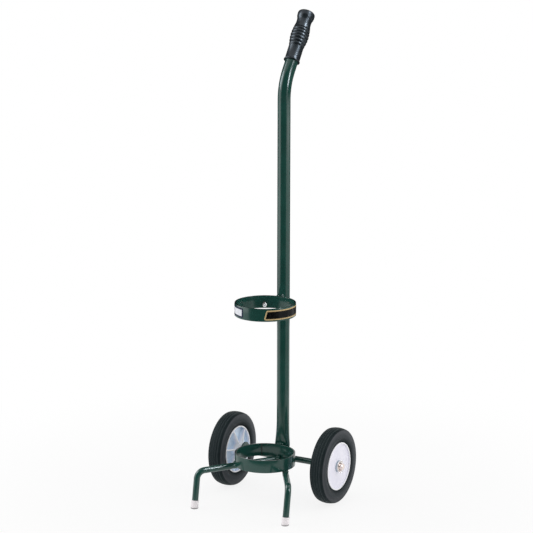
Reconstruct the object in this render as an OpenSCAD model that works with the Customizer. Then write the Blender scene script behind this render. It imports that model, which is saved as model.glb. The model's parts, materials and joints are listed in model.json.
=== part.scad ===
// Two-wheeled hand trolley for one small gas cylinder.
// The front faces -Y, +Z is up and the floor is Z = 0. All lengths are in millimetres.
// The origin lies on the floor under the middle of the trolley's outer box.

/* [Cylinder hoops] */
// Inside diameter of both hoops
hoop_inner_d = 114.3; // [100:0.1:130]
// Thickness of the hoop band
hoop_wall = 3.2; // [2:0.1:5]
// Height of the hoop band
hoop_h = 25.4; // [20:0.1:36]
// Height of the upper hoop's lower edge above the floor
upper_hoop_z = 386; // [250:1:600]

/* [Mast] */
// Outside diameter of the mast tube
tube_d = 25.4; // [20:0.1:32]
// Wall of the mast tube
tube_wall = 1.65; // [1.2:0.05:2.5]
// Height above the floor at which the handle bend begins
bend_start_z = 801.5; // [650:0.5:1000]
// Angle by which the handle leans back
handle_angle = 34.6; // [15:0.1:50]
// Centreline radius of the handle bend
bend_r = 95; // [60:1:150]
// Bare straight tube between the bend and the grip
handle_bare = 22.5; // [5:0.5:60]
// Distance that the pressed flat end hangs below the axle's middle
flat_below_axle = 8.5; // [6.5:0.5:16]
// Distance that the pressed flat end rises above the axle's middle
flat_above_axle = 12; // [9:0.5:20]
// Height over which the tube changes from flat to round
flare_h = 77; // [45:1:120]

/* [Handle grip] */
// Length of the grip
grip_l = 110; // [80:1:140]
// Diameter of the grip's plain ends
grip_d = 29.4; // [28:0.1:34]
// Diameter of the grip at its swollen middle
grip_swell_d = 36.4; // [30:0.1:42]
// Diameter of the rounded flange at the grip's end
grip_flange_d = 35; // [30:0.1:42]
// Length of the rounded flange at the grip's end
grip_flange_l = 12; // [8:0.5:18]
// Diameter of the thin lip at the grip's mouth
grip_lip_d = 32.6; // [29.5:0.1:38]
// Length of the thin lip at the grip's mouth
grip_lip_l = 2.4; // [1:0.1:5]
// Distance from the grip's mouth to the first ring of the swell
grip_swell_start = 34; // [20:0.5:45]
// Length of the ringed swell
grip_swell_l = 50; // [30:0.5:52]
// Number of rings round the swell
grip_rings = 6; // [3:1:9]
// Depth of the grooves between the rings
grip_ring_depth = 1.3; // [0.4:0.1:1.8]
// Thickness of the grip's closed end
grip_end_wall = 9; // [4:0.5:15]

/* [Legs] */
// Diameter of the leg rods
rod_d = 12.7; // [10:0.1:16]
// Angle between each leg's arm and the trolley's middle line
leg_angle = 32.8; // [22:0.1:40]
// Length of an arm from the middle line to its bend corner
leg_arm_l = 190; // [150:1:240]
// Centreline radius of the leg bend
leg_bend_r = 17; // [13:0.5:30]
// Angle by which the lower leg leans forwards
leg_lean = 9.5; // [0:0.5:15]
// Distance of the arms' centreline below the axle
leg_arm_drop = 3; // [0:0.1:8]

/* [Foot caps] */
// Outside diameter of the foot caps
cap_d = 14.8; // [13.8:0.1:20]
// Height of the foot caps
cap_h = 16; // [10:0.5:25]
// Thickness of a cap's floor under the rod's end
cap_floor = 3; // [2:0.1:6]

/* [Axle] */
// Diameter of the axle
axle_d = 12.7; // [10:0.1:14]
// Distance between the middle planes of the wheels
track = 233.4; // [200:0.1:300]
// Width across the ears pinched out of the axle
ear_w = 19; // [16:0.5:24]
// Length of an ear along the axle
ear_l = 5; // [3:0.5:10]
// Thickness of an ear
ear_t = 6; // [4:0.5:10]
// Length of axle outside the cotter pin's middle
axle_tip = 4.5; // [3.5:0.1:10]
// Chamfer at the axle's ends
axle_chamfer = 1; // [0.4:0.1:2]
// Diameter of a cotter pin's shank
cotter_d = 3; // [2:0.1:4]
// Diameter of a cotter pin's bent legs
cotter_leg_d = 1.8; // [1:0.1:2.4]
// Length of a cotter pin's bent legs
cotter_leg_l = 7; // [4:0.5:12]
// Outside diameter of a cotter pin's eye
cotter_eye_d = 6.4; // [5.4:0.1:10]

/* [Washers] */
// Outside diameter of the inner washers
inner_washer_d = 34.9; // [26:0.1:40]
// Thickness of the inner washers
inner_washer_t = 2.5; // [1:0.1:4]
// Outside diameter of the outer washers
outer_washer_d = 22; // [20:0.1:30]
// Thickness of the outer washers
outer_washer_t = 1.6; // [1:0.1:3]

/* [Tyres] */
// Diameter of the wheels over the tread
wheel_d = 152.4; // [140:0.1:180]
// Width of the tyre over its walls
tyre_w = 29.5; // [28:0.1:34]
// Radius of the tyre's shoulders
tyre_shoulder_r = 4.5; // [3:0.1:8]
// Radius of the tread's crown across the tyre
tread_crown_r = 40; // [30:0.5:80]
// Height of the tyre from the hub's lip to the tread
tyre_h = 27.4; // [24:0.1:30]
// Depth of the hub's channel that the tyre sits in
tyre_seat_depth = 3; // [1.5:0.1:4]
// Number of grooves round the tread
tread_grooves = 4; // [2:1:5]
// Distance between the grooves
groove_pitch = 5.4; // [4:0.1:6]
// Width of a groove
groove_w = 1.5; // [0.8:0.1:2.5]
// Depth of a groove
groove_depth = 1.4; // [0.6:0.1:3]

/* [Hubs] */
// Width of the hub over its two lips
hub_w = 28; // [24:0.1:32]
// Width of each lip
hub_lip_w = 2; // [1.5:0.1:4]
// Wall of the hub's rim under the tyre
hub_rim_wall = 3; // [2:0.1:5]
// Depth of the outer face behind the outer lip
hub_dish = 2.2; // [1:0.1:8]
// Thickness of the hub's web
hub_web_t = 3; // [2:0.1:5]
// Diameter of the boss on the outer face
outer_boss_d = 23; // [20:0.1:30]
// Distance that the outer boss stands out past the outer lip
outer_boss_out = 0.6; // [0:0.1:6]
// Diameter of the boss on the inner face
inner_boss_d = 27; // [20:0.1:34]
// Distance that the inner boss stands out past the inner lip
inner_boss_out = 14; // [4:0.1:24]
// Number of ribs on the inner face
hub_ribs = 6; // [4:1:9]
// Angle of the first rib above level
rib_phase = -10.5; // [-30:0.5:30]
// Thickness of a rib
rib_t = 2.6; // [1.6:0.1:4]
// Distance of a rib's edge behind the inner lip at the rim
rib_step = 2; // [0.5:0.1:6]
// Distance of a rib's edge below the inner boss's end face
rib_drop = 7; // [2:0.1:14]

/* [Clamp screw] */
// Diameter of the clamp screw
screw_d = 7.9; // [6:0.1:10]
// Distance between the turns of the screw's thread
screw_pitch = 1.4; // [1:0.05:2]
// Height of the screw above the upper hoop's lower edge
screw_rise = 8.6; // [7.2:0.1:18]
// Angle of the screw from the mast, round the hoop
screw_angle = 31; // [26:0.5:60]
// Distance that the screw's tip stands inside the hoop
screw_reach = 16; // [4:0.5:25]
// Distance that the screw can still be turned in
screw_spare = 4; // [1:0.5:8]
// Width across the flats of the nut
nut_w = 14.3; // [13:0.1:18]
// Height of the nut above the hoop
nut_h = 6.6; // [4:0.1:10]
// Diameter of the screw's head
head_d = 10; // [9:0.1:16]
// Length of the screw's head
head_l = 9; // [6:0.1:14]
// Span of the screw's two wings
wing_span = 28; // [20:0.5:34]
// Thickness of the wings
wing_t = 3; // [2:0.1:5]
// Diameter of the swivel tip
tip_d = 6.6; // [4.4:0.1:7.6]
// Length of the swivel tip
tip_l = 3; // [2:0.1:5]
// Diameter of the swivel tip's stem
tip_stem_d = 3; // [2:0.1:4]
// Length of the swivel tip's stem
tip_stem_l = 4; // [2:0.1:8]

/* [Labels] */
// Height of both blank labels
label_h = 19; // [10:0.5:19.5]
// Thickness of both blank labels
label_t = 0.3; // [0.2:0.05:0.6]
// Angle round the hoop from +X to the start of the dark label
dark_label_start_angle = -63; // [-90:1:-30]
// Angle that the dark label covers
dark_label_sweep_angle = 94; // [30:1:100]
// Angle round the hoop from +X to the start of the pale label
pale_label_start_angle = -160; // [-180:1:-140]
// Angle that the pale label covers
pale_label_sweep_angle = 50; // [20:1:70]

/* [Welds] */
// Size of the weld beads
bead = 3; // [2:0.1:4]
// Length of the beads along the axle
axle_bead_l = 30; // [15:1:36]
// Length of the bead on top of the lower hoop
top_bead_l = 14; // [8:1:18]

/* [Clearances] */
// Radial running clearance of the hubs, screw and tip
running_gap = 0.06; // [0.02:0.01:0.1]
// Gap left between pieces that are welded or pushed together
seat_gap = 0.05; // [0.02:0.01:0.2]
// End play beside the hubs and washers
end_play = 0.3; // [0.2:0.05:0.6]
// Radial clearance of the washers and cotter pins
loose_gap = 0.3; // [0.1:0.05:0.6]

/* [Hidden] */

$fn = 96;
left = -1;
right = 1;
fine = 360;
bend_swell = 0.04;
bend_lap = 0.5;
section_points = 36;
flare_steps = 9;
swell_steps = 12;
paint = [0.07, 0.22, 0.18];
black_rubber = [0.1, 0.1, 0.11];
white_plastic = [0.88, 0.87, 0.92];
zinc = [0.75, 0.73, 0.68];
nylon = [0.93, 0.93, 0.9];

tube_r = tube_d / 2;
rod_r = rod_d / 2;
axle_r = axle_d / 2;
wheel_r = wheel_d / 2;
hoop_inner_r = hoop_inner_d / 2;
hoop_outer_r = hoop_inner_r + hoop_wall;
flat_t = 2 * tube_wall;
foot_d = tube_d - 2 * seat_gap;
flare_bow = 2.5;
cotter_spread = 55;

// Where the parts lie fore and aft, measured from the hoops' own axis
foot_front = hoop_outer_r + seat_gap;
foot_back = foot_front + flat_t;
axle_back = foot_back + seat_gap + axle_r;
mast_back = foot_front + tube_r;

// Heights
axle_z = wheel_r;
arm_z = axle_z - leg_arm_drop;
lower_hoop_z = arm_z + rod_r + seat_gap;
lower_hoop_top = lower_hoop_z + hoop_h;
foot_bottom_z = axle_z - flat_below_axle;
flat_top_z = axle_z + flat_above_axle;
round_z = flat_top_z + flare_h;

// The leg's bend lies in a plane through its arm, rolled so that the lower leg leans straight forwards
leg_turn = acos(cos(leg_angle) * sin(leg_lean));
leg_roll = atan(tan(leg_lean) * sin(leg_angle));
leg_tangent = leg_bend_r * tan(leg_turn / 2);
leg_bend_x = leg_arm_l - leg_tangent;
shin_l = arm_z / cos(leg_lean) - leg_tangent;
foot_x = leg_arm_l * sin(leg_angle);
foot_reach = leg_arm_l * cos(leg_angle) + arm_z * tan(leg_lean);

// Distance along an arm from the middle line to where it leaves the hoop's outside
arm_to_hoop = axle_back * cos(leg_angle)
    + sqrt(pow(hoop_outer_r, 2) - pow(axle_back * sin(leg_angle), 2));

// The handle
bend_end_back = mast_back + bend_r * (1 - cos(handle_angle));
bend_end_z = bend_start_z + bend_r * sin(handle_angle);
grip_back = bend_end_back + handle_bare * sin(handle_angle);
grip_z = bend_end_z + handle_bare * cos(handle_angle);
grip_socket = grip_l - grip_end_wall;
tube_in_grip = grip_socket - end_play;
flange_edge_r = grip_flange_l / 2;

// The middle of the outer box, from the front of the caps to the back of the grip
cap_front = axle_back - foot_reach - cap_d / 2 / cos(leg_lean);
grip_end_back = grip_back + (grip_l - flange_edge_r) * sin(handle_angle)
    + (grip_flange_d / 2 - flange_edge_r) * cos(handle_angle) + flange_edge_r;
hoop_y = -(cap_front + grip_end_back) / 2;
axle_y = hoop_y + axle_back;
mast_y = hoop_y + mast_back;

// The wheel along its own axle, outwards from its middle plane
tyre_half_w = tyre_w / 2;
crown_middle_r = wheel_r - tread_crown_r;
shoulder_x = tyre_half_w - tyre_shoulder_r;
shoulder_middle_r = crown_middle_r + sqrt(pow(tread_crown_r - tyre_shoulder_r, 2) - pow(shoulder_x, 2));
tread_half_w = shoulder_x * tread_crown_r / (tread_crown_r - tyre_shoulder_r);
hub_lip_r = wheel_r - tyre_h;
hub_seat_r = hub_lip_r - tyre_seat_depth;
hub_rim_inner_r = hub_seat_r - hub_rim_wall;
hub_half_w = hub_w / 2;
hub_channel_half_w = hub_half_w - hub_lip_w;
hub_bore_r = axle_r + running_gap;
web_out = hub_half_w - hub_dish;
web_in = web_out - hub_web_t;
outer_boss_end = hub_half_w + outer_boss_out;
inner_boss_end = hub_half_w + inner_boss_out;
outer_washer_in = outer_boss_end + end_play;
outer_washer_out = outer_washer_in + outer_washer_t;
cotter_out = outer_washer_out + end_play + cotter_d / 2;
axle_out = cotter_out + axle_tip;
inner_washer_out = inner_boss_end + end_play;
ear_out = inner_washer_out + inner_washer_t + end_play;
axle_half_l = track / 2 + axle_out;

// The clamp screw, outwards from the hoop's axis
screw_z = upper_hoop_z + screw_rise;
screw_r = screw_d / 2;
screw_hole_r = screw_r + running_gap;
thread_depth = 0.6 * screw_pitch;
tip_in = hoop_inner_r - screw_reach;
screw_in = tip_in + tip_l + seat_gap;
nut_out = hoop_outer_r + nut_h;
head_in = nut_out + screw_spare + end_play;
head_mid = head_in + head_l / 2;
head_out = head_in + head_l;

// Larger than the whole trolley, for cutting planes
far = 2 * (bend_start_z + grip_l + leg_arm_l);

// One oblong ring of points at height z: a strip of the tube's girth pressed to thickness t
function oblong(z, t, straight, back) = [
    for (i = [0 : section_points - 1])
        let (
            a = 360 * (i + 0.5) / section_points,
            side = cos(a) > 0 ? 1 : -1
        )
        [side * straight / 2 + t / 2 * cos(a), back + t / 2 * sin(a), z]
];

// How far the tube has opened from flat (0) to round (1) along the flare
function opened(u) = 1 - pow(1 - u, flare_bow);

function flare_thickness(u) = flat_t + (foot_d - flat_t) * opened(u);

function flare_straight(t) = PI * (foot_d - t) / 2;

// Closed solid through a stack of point rings
module loft(rings) {
    n = len(rings[0]);
    top = len(rings) - 1;
    points = [for (ring = rings) for (p = ring) p];
    sides = [
        for (k = [0 : top - 1], i = [0 : n - 1])
            let (
                a = k * n + i,
                b = k * n + (i + 1) % n
            )
            each [[a, a + n, b], [b, a + n, b + n]]
    ];
    floor_face = [[for (i = [0 : n - 1]) i]];
    top_face = [[for (i = [n - 1 : -1 : 0]) top * n + i]];
    polyhedron(points, concat(floor_face, sides, top_face));
}

// The tube's pressed foot, which laps into the round tube. Inset by the wall it is the hollow inside.
module pressed_foot(inset) {
    levels = [
        for (k = [0 : flare_steps])
            let (u = k / flare_steps)
            if (flare_thickness(u) > 2 * inset + tube_wall) [flat_top_z + u * flare_h, flare_thickness(u)]
    ];
    flat_end = [if (inset == 0) [foot_bottom_z, flat_t]];
    lap_end = [[round_z + tube_wall, flare_thickness(1)]];
    loft([
        for (level = concat(flat_end, levels, lap_end))
            oblong(level[0], level[1] - 2 * inset, flare_straight(level[1]), mast_y + (level[1] - foot_d) / 2)
    ]);
}

// A round bar of radius r that runs straight, turns left round a bend's centre and runs straight again.
// The bend is a hair thicker than the bar, and the straight ends lap into it.
module bent_bar(r, centre_r, turn, lead, tail) {
    translate([centre_r, -lead, 0])
        rotate([-90, 0, 0])
            cylinder(r = r, h = lead + bend_lap);
    rotate_extrude(angle = turn)
        translate([centre_r, 0])
            circle(r = r + bend_swell);
    rotate([0, 0, turn])
        translate([centre_r, -bend_lap, 0])
            rotate([-90, 0, 0])
                cylinder(r = r, h = tail + bend_lap);
}

// The round tube above the foot: upright, bend and handle, with a given radius
module round_tube(r, extra) {
    translate([0, mast_y + bend_r, bend_start_z])
        rotate([90, 0, -90])
            bent_bar(r, bend_r, handle_angle, bend_start_z - round_z, handle_bare + tube_in_grip + extra);
}

module mast_tube() {
    color(paint)
        difference() {
            union() {
                pressed_foot(0);
                round_tube(tube_r, 0);
            }
            pressed_foot(tube_wall);
            round_tube(tube_r - tube_wall, tube_wall);
        }
}

// Radius of the grip's ringed swell at a share u of its length
function swell_r(u) = grip_d / 2 + (grip_swell_d - grip_d) / 2 * sin(180 * u)
    - grip_ring_depth * (1 - cos(360 * grip_rings * u)) / 2 * sin(180 * u);

// Half outline of the grip as radius and height from its mouth
function grip_outline() = concat(
    [
        [0, 0],
        [grip_lip_d / 2, 0],
        [grip_lip_d / 2, grip_lip_l],
        [grip_d / 2, grip_lip_l + (grip_lip_d - grip_d) / 2]
    ],
    [
        for (k = [0 : grip_rings * swell_steps])
            let (u = k / (grip_rings * swell_steps))
            [swell_r(u), grip_swell_start + u * grip_swell_l]
    ],
    [
        [grip_d / 2, grip_l - 2 * grip_flange_l],
        [grip_flange_d / 2 - flange_edge_r / 4, grip_l - flange_edge_r],
        [grip_flange_d / 2 - flange_edge_r, grip_l],
        [0, grip_l]
    ]
);

module at_grip() {
    translate([0, hoop_y + grip_back, grip_z])
        rotate([-handle_angle, 0, 0])
            children();
}

module handle_grip() {
    color(black_rubber)
        at_grip()
            difference() {
                rotate_extrude() {
                    polygon(grip_outline());
                    translate([grip_flange_d / 2 - flange_edge_r, grip_l - flange_edge_r])
                        circle(r = flange_edge_r);
                }
                translate([0, 0, -grip_lip_l])
                    cylinder(r = tube_r + seat_gap, h = grip_socket + grip_lip_l);
            }
}

module hoop(z) {
    translate([0, hoop_y, z])
        difference() {
            cylinder(r = hoop_outer_r, h = hoop_h);
            translate([0, 0, -hoop_h / 2])
                cylinder(r = hoop_inner_r, h = 2 * hoop_h);
        }
}

// Moves a shape onto the clamp screw's line, with its +Z pointing out from the hoop's axis
module at_screw() {
    translate([0, hoop_y, screw_z])
        rotate([0, 0, screw_angle])
            rotate([-90, 0, 0])
                children();
}

module screw_hole() {
    at_screw()
        translate([0, 0, hoop_inner_r / 2])
            cylinder(r = screw_hole_r, h = hoop_outer_r);
}

module upper_hoop() {
    color(paint)
        difference() {
            hoop(upper_hoop_z);
            screw_hole();
        }
}

// Upright beads in the two grooves between the mast and the upper hoop
module upper_hoop_welds() {
    groove_x = sqrt(bead / (1 / tube_r + 1 / hoop_outer_r));
    color(paint)
        translate([0, hoop_y, upper_hoop_z])
            linear_extrude(hoop_h + bead / 2)
                difference() {
                    for (side = [left, right])
                        translate([side * groove_x, foot_front + bead / 4])
                            circle(r = bead);
                    circle(r = hoop_outer_r + seat_gap, $fn = fine);
                    translate([0, mast_back])
                        circle(r = tube_r + seat_gap, $fn = fine);
                }
}

// A thin curved plate on the upper hoop, from an angle round from +X
module label(start, sweep) {
    translate([0, hoop_y, upper_hoop_z + (hoop_h - label_h) / 2])
        rotate([0, 0, start])
            rotate_extrude(angle = sweep)
                translate([hoop_outer_r + seat_gap, 0])
                    square([label_t, label_h]);
}

module dark_label() {
    color("black")
        label(dark_label_start_angle, dark_label_sweep_angle);
}

module pale_label() {
    color("white")
        label(pale_label_start_angle, pale_label_sweep_angle);
}

module clamp_nut() {
    color(paint)
        difference() {
            at_screw()
                translate([0, 0, hoop_inner_r])
                    cylinder(d = nut_w / cos(30), h = nut_out - hoop_inner_r, $fn = 6);
            screw_hole();
            translate([0, hoop_y, screw_z - nut_w])
                cylinder(r = hoop_outer_r + seat_gap, h = 2 * nut_w);
        }
}

// Half outline of the screw's threaded shank
function thread_outline() = concat(
    [[0, screw_in], [screw_r - thread_depth, screw_in]],
    [
        for (z = [screw_in + screw_pitch / 2 : screw_pitch : head_in - screw_pitch])
            each [[screw_r, z], [screw_r - thread_depth, z + screw_pitch / 2]]
    ],
    [[screw_r - thread_depth, head_mid], [0, head_mid]]
);

module clamp_screw() {
    wing_rise = head_l / 3;
    color(zinc)
        at_screw()
            difference() {
                union() {
                    rotate_extrude()
                        polygon(thread_outline());
                    translate([0, 0, head_in])
                        cylinder(d = head_d, h = head_l);
                    translate([0, wing_t / 2, 0])
                        rotate([90, 0, 0])
                            linear_extrude(wing_t)
                                for (side = [0, 1])
                                    mirror([side, 0])
                                        polygon([
                                            [0, head_in + wing_rise],
                                            [wing_span / 2, head_in + 2 * wing_rise],
                                            [wing_span / 2, head_out + wing_rise],
                                            [wing_span / 2 - wing_rise, head_out + wing_rise],
                                            [0, head_out - wing_rise / 2]
                                        ]);
                }
                translate([0, 0, screw_in - tip_l])
                    cylinder(r = tip_stem_d / 2 + running_gap, h = tip_l + tip_stem_l + end_play);
            }
}

module clamp_tip() {
    color(nylon)
        at_screw()
            translate([0, 0, tip_in]) {
                cylinder(d = tip_d, h = tip_l);
                cylinder(d = tip_stem_d, h = tip_l + tip_stem_l);
            }
}

module lower_hoop() {
    color(paint)
        hoop(lower_hoop_z);
}

// Beads that hold the axle and the lower hoop to the mast's pressed foot
module mast_foot_welds() {
    foot_half_w = (flat_t + flare_straight(flat_t)) / 2;
    color(paint) {
        difference() {
            for (side = [-1, 1])
                translate([-axle_bead_l / 2, hoop_y + foot_back, axle_z + side * (axle_r - bead / 4)])
                    rotate([0, 90, 0])
                        cylinder(r = bead, h = axle_bead_l);
            translate([-far / 2, hoop_y + foot_back + seat_gap - far, 0])
                cube(far);
            axle_bar(axle_r + seat_gap);
        }
        difference() {
            translate([-top_bead_l / 2, hoop_y + foot_front - bead / 2, lower_hoop_top])
                rotate([0, 90, 0])
                    cylinder(r = bead, h = top_bead_l);
            translate([-far / 2, hoop_y + foot_front - seat_gap, 0])
                cube(far);
            translate([0, hoop_y, 0])
                cylinder(r = hoop_outer_r + bead, h = lower_hoop_top + seat_gap);
            translate([0, hoop_y, 0])
                cylinder(r = hoop_inner_r + hoop_wall / 3, h = far);
        }
        difference() {
            for (side = [left, right])
                translate([side * foot_half_w, hoop_y + foot_front - bead / 2, lower_hoop_z])
                    cylinder(r = bead, h = flat_top_z - lower_hoop_z);
            translate([-far / 2, hoop_y + foot_front - seat_gap, 0])
                cube(far);
            translate([0, hoop_y, 0])
                cylinder(r = hoop_outer_r + seat_gap, h = far);
        }
    }
}

// Puts a shape on a leg's arm, with +X out along it
module at_leg(side) {
    translate([0, axle_y, 0])
        rotate([0, 0, side * leg_angle - 90])
            children();
}

// Puts a shape on a foot, with +Z up along the lower leg
module at_foot(side) {
    translate([side * foot_x, axle_y - foot_reach, 0])
        rotate([-leg_lean, 0, 0])
            children();
}

// The arm's straight bar with a given radius
module arm_bar(side, r) {
    at_leg(side)
        translate([0, 0, arm_z])
            rotate([0, 90, 0])
                cylinder(r = r, h = leg_bend_x);
}

module leg_rod(side) {
    at_leg(side)
        translate([leg_bend_x, 0, arm_z])
            rotate([-side * leg_roll, 0, 0])
                translate([0, 0, -leg_bend_r])
                    rotate([-90, -90, 0])
                        bent_bar(rod_r, leg_bend_r, leg_turn, leg_bend_x, shin_l - cap_floor - seat_gap);
}

// One leg, mitred on the middle line and butted against the mast's foot
module leg(side) {
    color(paint)
        difference() {
            leg_rod(side);
            translate([side > 0 ? seat_gap - far : -seat_gap, axle_y - far / 2, -far / 2])
                cube(far);
            translate([-far / 2, hoop_y + foot_front - seat_gap, -far / 2])
                cube(far);
        }
}

module left_leg() {
    leg(left);
}

module right_leg() {
    leg(right);
}

// Beads where the arms leave the lower hoop and where they meet at the mast's foot
module leg_welds() {
    color(paint)
        difference() {
            union() {
                for (side = [left, right], edge = [-1, 1])
                    at_leg(side)
                        translate([arm_to_hoop, edge * rod_r / 2, lower_hoop_z - bead / 2])
                            sphere(r = bead + seat_gap);
                translate([0, hoop_y + foot_front - bead, lower_hoop_z - bead])
                    sphere(r = bead);
            }
            for (side = [left, right])
                arm_bar(side, rod_r + seat_gap);
            translate([-far / 2, hoop_y + foot_front - seat_gap, -far / 2])
                cube(far);
            translate([0, hoop_y, lower_hoop_z - seat_gap])
                cylinder(r = hoop_outer_r + seat_gap, h = far);
        }
}

module foot_cap(side) {
    color(white_plastic)
        difference() {
            at_foot(side)
                difference() {
                    translate([0, 0, -cap_d * tan(leg_lean)])
                        cylinder(d = cap_d, h = cap_h + cap_d * tan(leg_lean));
                    translate([0, 0, cap_floor])
                        cylinder(r = rod_r + seat_gap, h = cap_h);
                }
            translate([-far / 2, -far / 2, -far])
                cube(far);
        }
}

module left_foot_cap() {
    foot_cap(left);
}

module right_foot_cap() {
    foot_cap(right);
}

// The axle's round bar with a given radius
module axle_bar(r) {
    translate([-axle_half_l + axle_chamfer, axle_y, axle_z])
        rotate([0, 90, 0])
            cylinder(r = r, h = 2 * (axle_half_l - axle_chamfer));
}

module axle() {
    color(paint)
        difference() {
            union() {
                axle_bar(axle_r);
                for (side = [left, right])
                    at_wheel(side) {
                        translate([0, 0, axle_out - axle_chamfer])
                            cylinder(r1 = axle_r, r2 = axle_r - axle_chamfer, h = axle_chamfer);
                        translate([-ear_w / 2, -ear_t / 2, -ear_out - ear_l])
                            cube([ear_w, ear_t, ear_l]);
                    }
            }
            for (side = [left, right])
                at_wheel(side)
                    translate([-axle_d, 0, cotter_out])
                        rotate([0, 90, 0])
                            cylinder(d = cotter_d + loose_gap, h = 2 * axle_d);
        }
}

// Puts a shape on the axle at a wheel, with +Z outwards from the wheel's middle plane and -X up
module at_wheel(side) {
    translate([side * track / 2, axle_y, axle_z])
        mirror([side < 0 ? 1 : 0, 0, 0])
            rotate([0, 90, 0])
                children();
}

// Half section of a tyre without its grooves: body, crowned tread and shoulders
module tyre_section() {
    seat_half_w = hub_channel_half_w - seat_gap;
    seat_r = hub_seat_r + seat_gap;
    foot_r = hub_lip_r + seat_gap;
    polygon([
        [seat_r, -seat_half_w],
        [foot_r, -seat_half_w],
        [foot_r, -hub_half_w],
        [shoulder_middle_r, -tyre_half_w],
        [shoulder_middle_r, tyre_half_w],
        [foot_r, hub_half_w],
        [foot_r, seat_half_w],
        [seat_r, seat_half_w]
    ]);
    intersection() {
        translate([crown_middle_r, 0])
            circle(r = tread_crown_r);
        translate([shoulder_middle_r - tyre_shoulder_r, -tread_half_w])
            square([tyre_h, 2 * tread_half_w]);
    }
    for (x = [-shoulder_x, shoulder_x])
        translate([shoulder_middle_r, x])
            circle(r = tyre_shoulder_r);
}

module tyre(side) {
    color(black_rubber)
        at_wheel(side)
            rotate_extrude()
                difference() {
                    tyre_section();
                    for (k = [0 : tread_grooves - 1])
                        let (
                            x = (k - (tread_grooves - 1) / 2) * groove_pitch,
                            r = crown_middle_r + sqrt(pow(tread_crown_r, 2) - pow(x, 2))
                        )
                        translate([r - groove_depth, x - groove_w / 2])
                            square([2 * groove_depth, groove_w]);
                }
}

// Half section of a hub without its ribs
module hub_section() {
    translate([hub_rim_inner_r, -hub_half_w])
        square([hub_rim_wall, hub_w]);
    for (lip = [0, 1])
        mirror([0, lip])
            translate([hub_rim_inner_r, hub_channel_half_w])
                square([hub_lip_r - hub_rim_inner_r, hub_lip_w]);
    translate([hub_bore_r, web_in])
        square([hub_seat_r - hub_bore_r - hub_rim_wall / 2, hub_web_t]);
    translate([hub_bore_r, -inner_boss_end])
        square([inner_boss_d / 2 - hub_bore_r, inner_boss_end + web_out]);
    translate([hub_bore_r, web_in])
        square([outer_boss_d / 2 - hub_bore_r, outer_boss_end - web_in]);
}

module hub(side) {
    rib_in_r = (hub_bore_r + inner_boss_d / 2) / 2;
    rib_out_r = hub_rim_inner_r + hub_rim_wall / 2;
    web_mid = (web_in + web_out) / 2;
    color(white_plastic)
        at_wheel(side) {
            rotate_extrude()
                hub_section();
            for (k = [0 : hub_ribs - 1])
                rotate([0, 0, 90 + rib_phase + 360 * k / hub_ribs])
                    translate([0, rib_t / 2, 0])
                        rotate([90, 0, 0])
                            linear_extrude(rib_t)
                                polygon([
                                    [rib_in_r, web_mid],
                                    [rib_in_r, rib_drop - inner_boss_end],
                                    [rib_out_r, rib_step - hub_half_w],
                                    [rib_out_r, web_mid]
                                ]);
        }
}

// A flat washer on the axle, from a distance outwards of the wheel's middle plane
module washer(side, d, from, t, finish) {
    color(finish)
        at_wheel(side)
            translate([0, 0, from])
                difference() {
                    cylinder(d = d, h = t);
                    translate([0, 0, -t])
                        cylinder(r = axle_r + loose_gap, h = 3 * t);
                }
}

module inner_washer(side) {
    washer(side, inner_washer_d, -inner_washer_out - inner_washer_t, inner_washer_t, paint);
}

module outer_washer(side) {
    washer(side, outer_washer_d, outer_washer_in, outer_washer_t, zinc);
}

// A cotter pin through the axle, with its eye on top and its two legs spread below
module cotter_pin(side) {
    eye_wire_d = cotter_leg_d;
    eye_mid_r = (cotter_eye_d - eye_wire_d) / 2;
    shank_top = axle_r + loose_gap;
    shank_bottom = axle_r + cotter_leg_d;
    color(zinc)
        at_wheel(side)
            translate([0, 0, cotter_out])
                rotate([0, -90, 0]) {
                    translate([0, 0, -shank_bottom])
                        cylinder(d = cotter_d, h = shank_bottom + shank_top);
                    translate([0, 0, shank_top + eye_mid_r])
                        rotate([0, 90, 0])
                            rotate_extrude()
                                translate([eye_mid_r, 0])
                                    circle(d = eye_wire_d);
                    for (turn = [-cotter_spread, cotter_spread])
                        translate([0, 0, cotter_leg_d / 2 - shank_bottom])
                            rotate([180 + turn, 0, 0])
                                cylinder(d = cotter_leg_d, h = cotter_leg_l);
                }
}

module left_tyre() {
    tyre(left);
}

module left_hub() {
    hub(left);
}

module left_inner_washer() {
    inner_washer(left);
}

module left_outer_washer() {
    outer_washer(left);
}

module left_cotter_pin() {
    cotter_pin(left);
}

module right_tyre() {
    tyre(right);
}

module right_hub() {
    hub(right);
}

module right_inner_washer() {
    inner_washer(right);
}

module right_outer_washer() {
    outer_washer(right);
}

module right_cotter_pin() {
    cotter_pin(right);
}

mast_tube();
handle_grip();
upper_hoop();
upper_hoop_welds();
dark_label();
pale_label();
clamp_nut();
clamp_screw();
clamp_tip();
lower_hoop();
mast_foot_welds();
left_leg();
right_leg();
leg_welds();
left_foot_cap();
right_foot_cap();
axle();
left_tyre();
left_hub();
left_inner_washer();
left_outer_washer();
left_cotter_pin();
right_tyre();
right_hub();
right_inner_washer();
right_outer_washer();
right_cotter_pin();
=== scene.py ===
"""Finished pieces of a two-wheeled gas cylinder trolley, modelled around its fixed frame."""

import json
import math

import bmesh
import bpy
from bpy.props import FloatProperty, FloatVectorProperty, IntProperty, PointerProperty
from mathutils import Matrix, Vector


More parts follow.
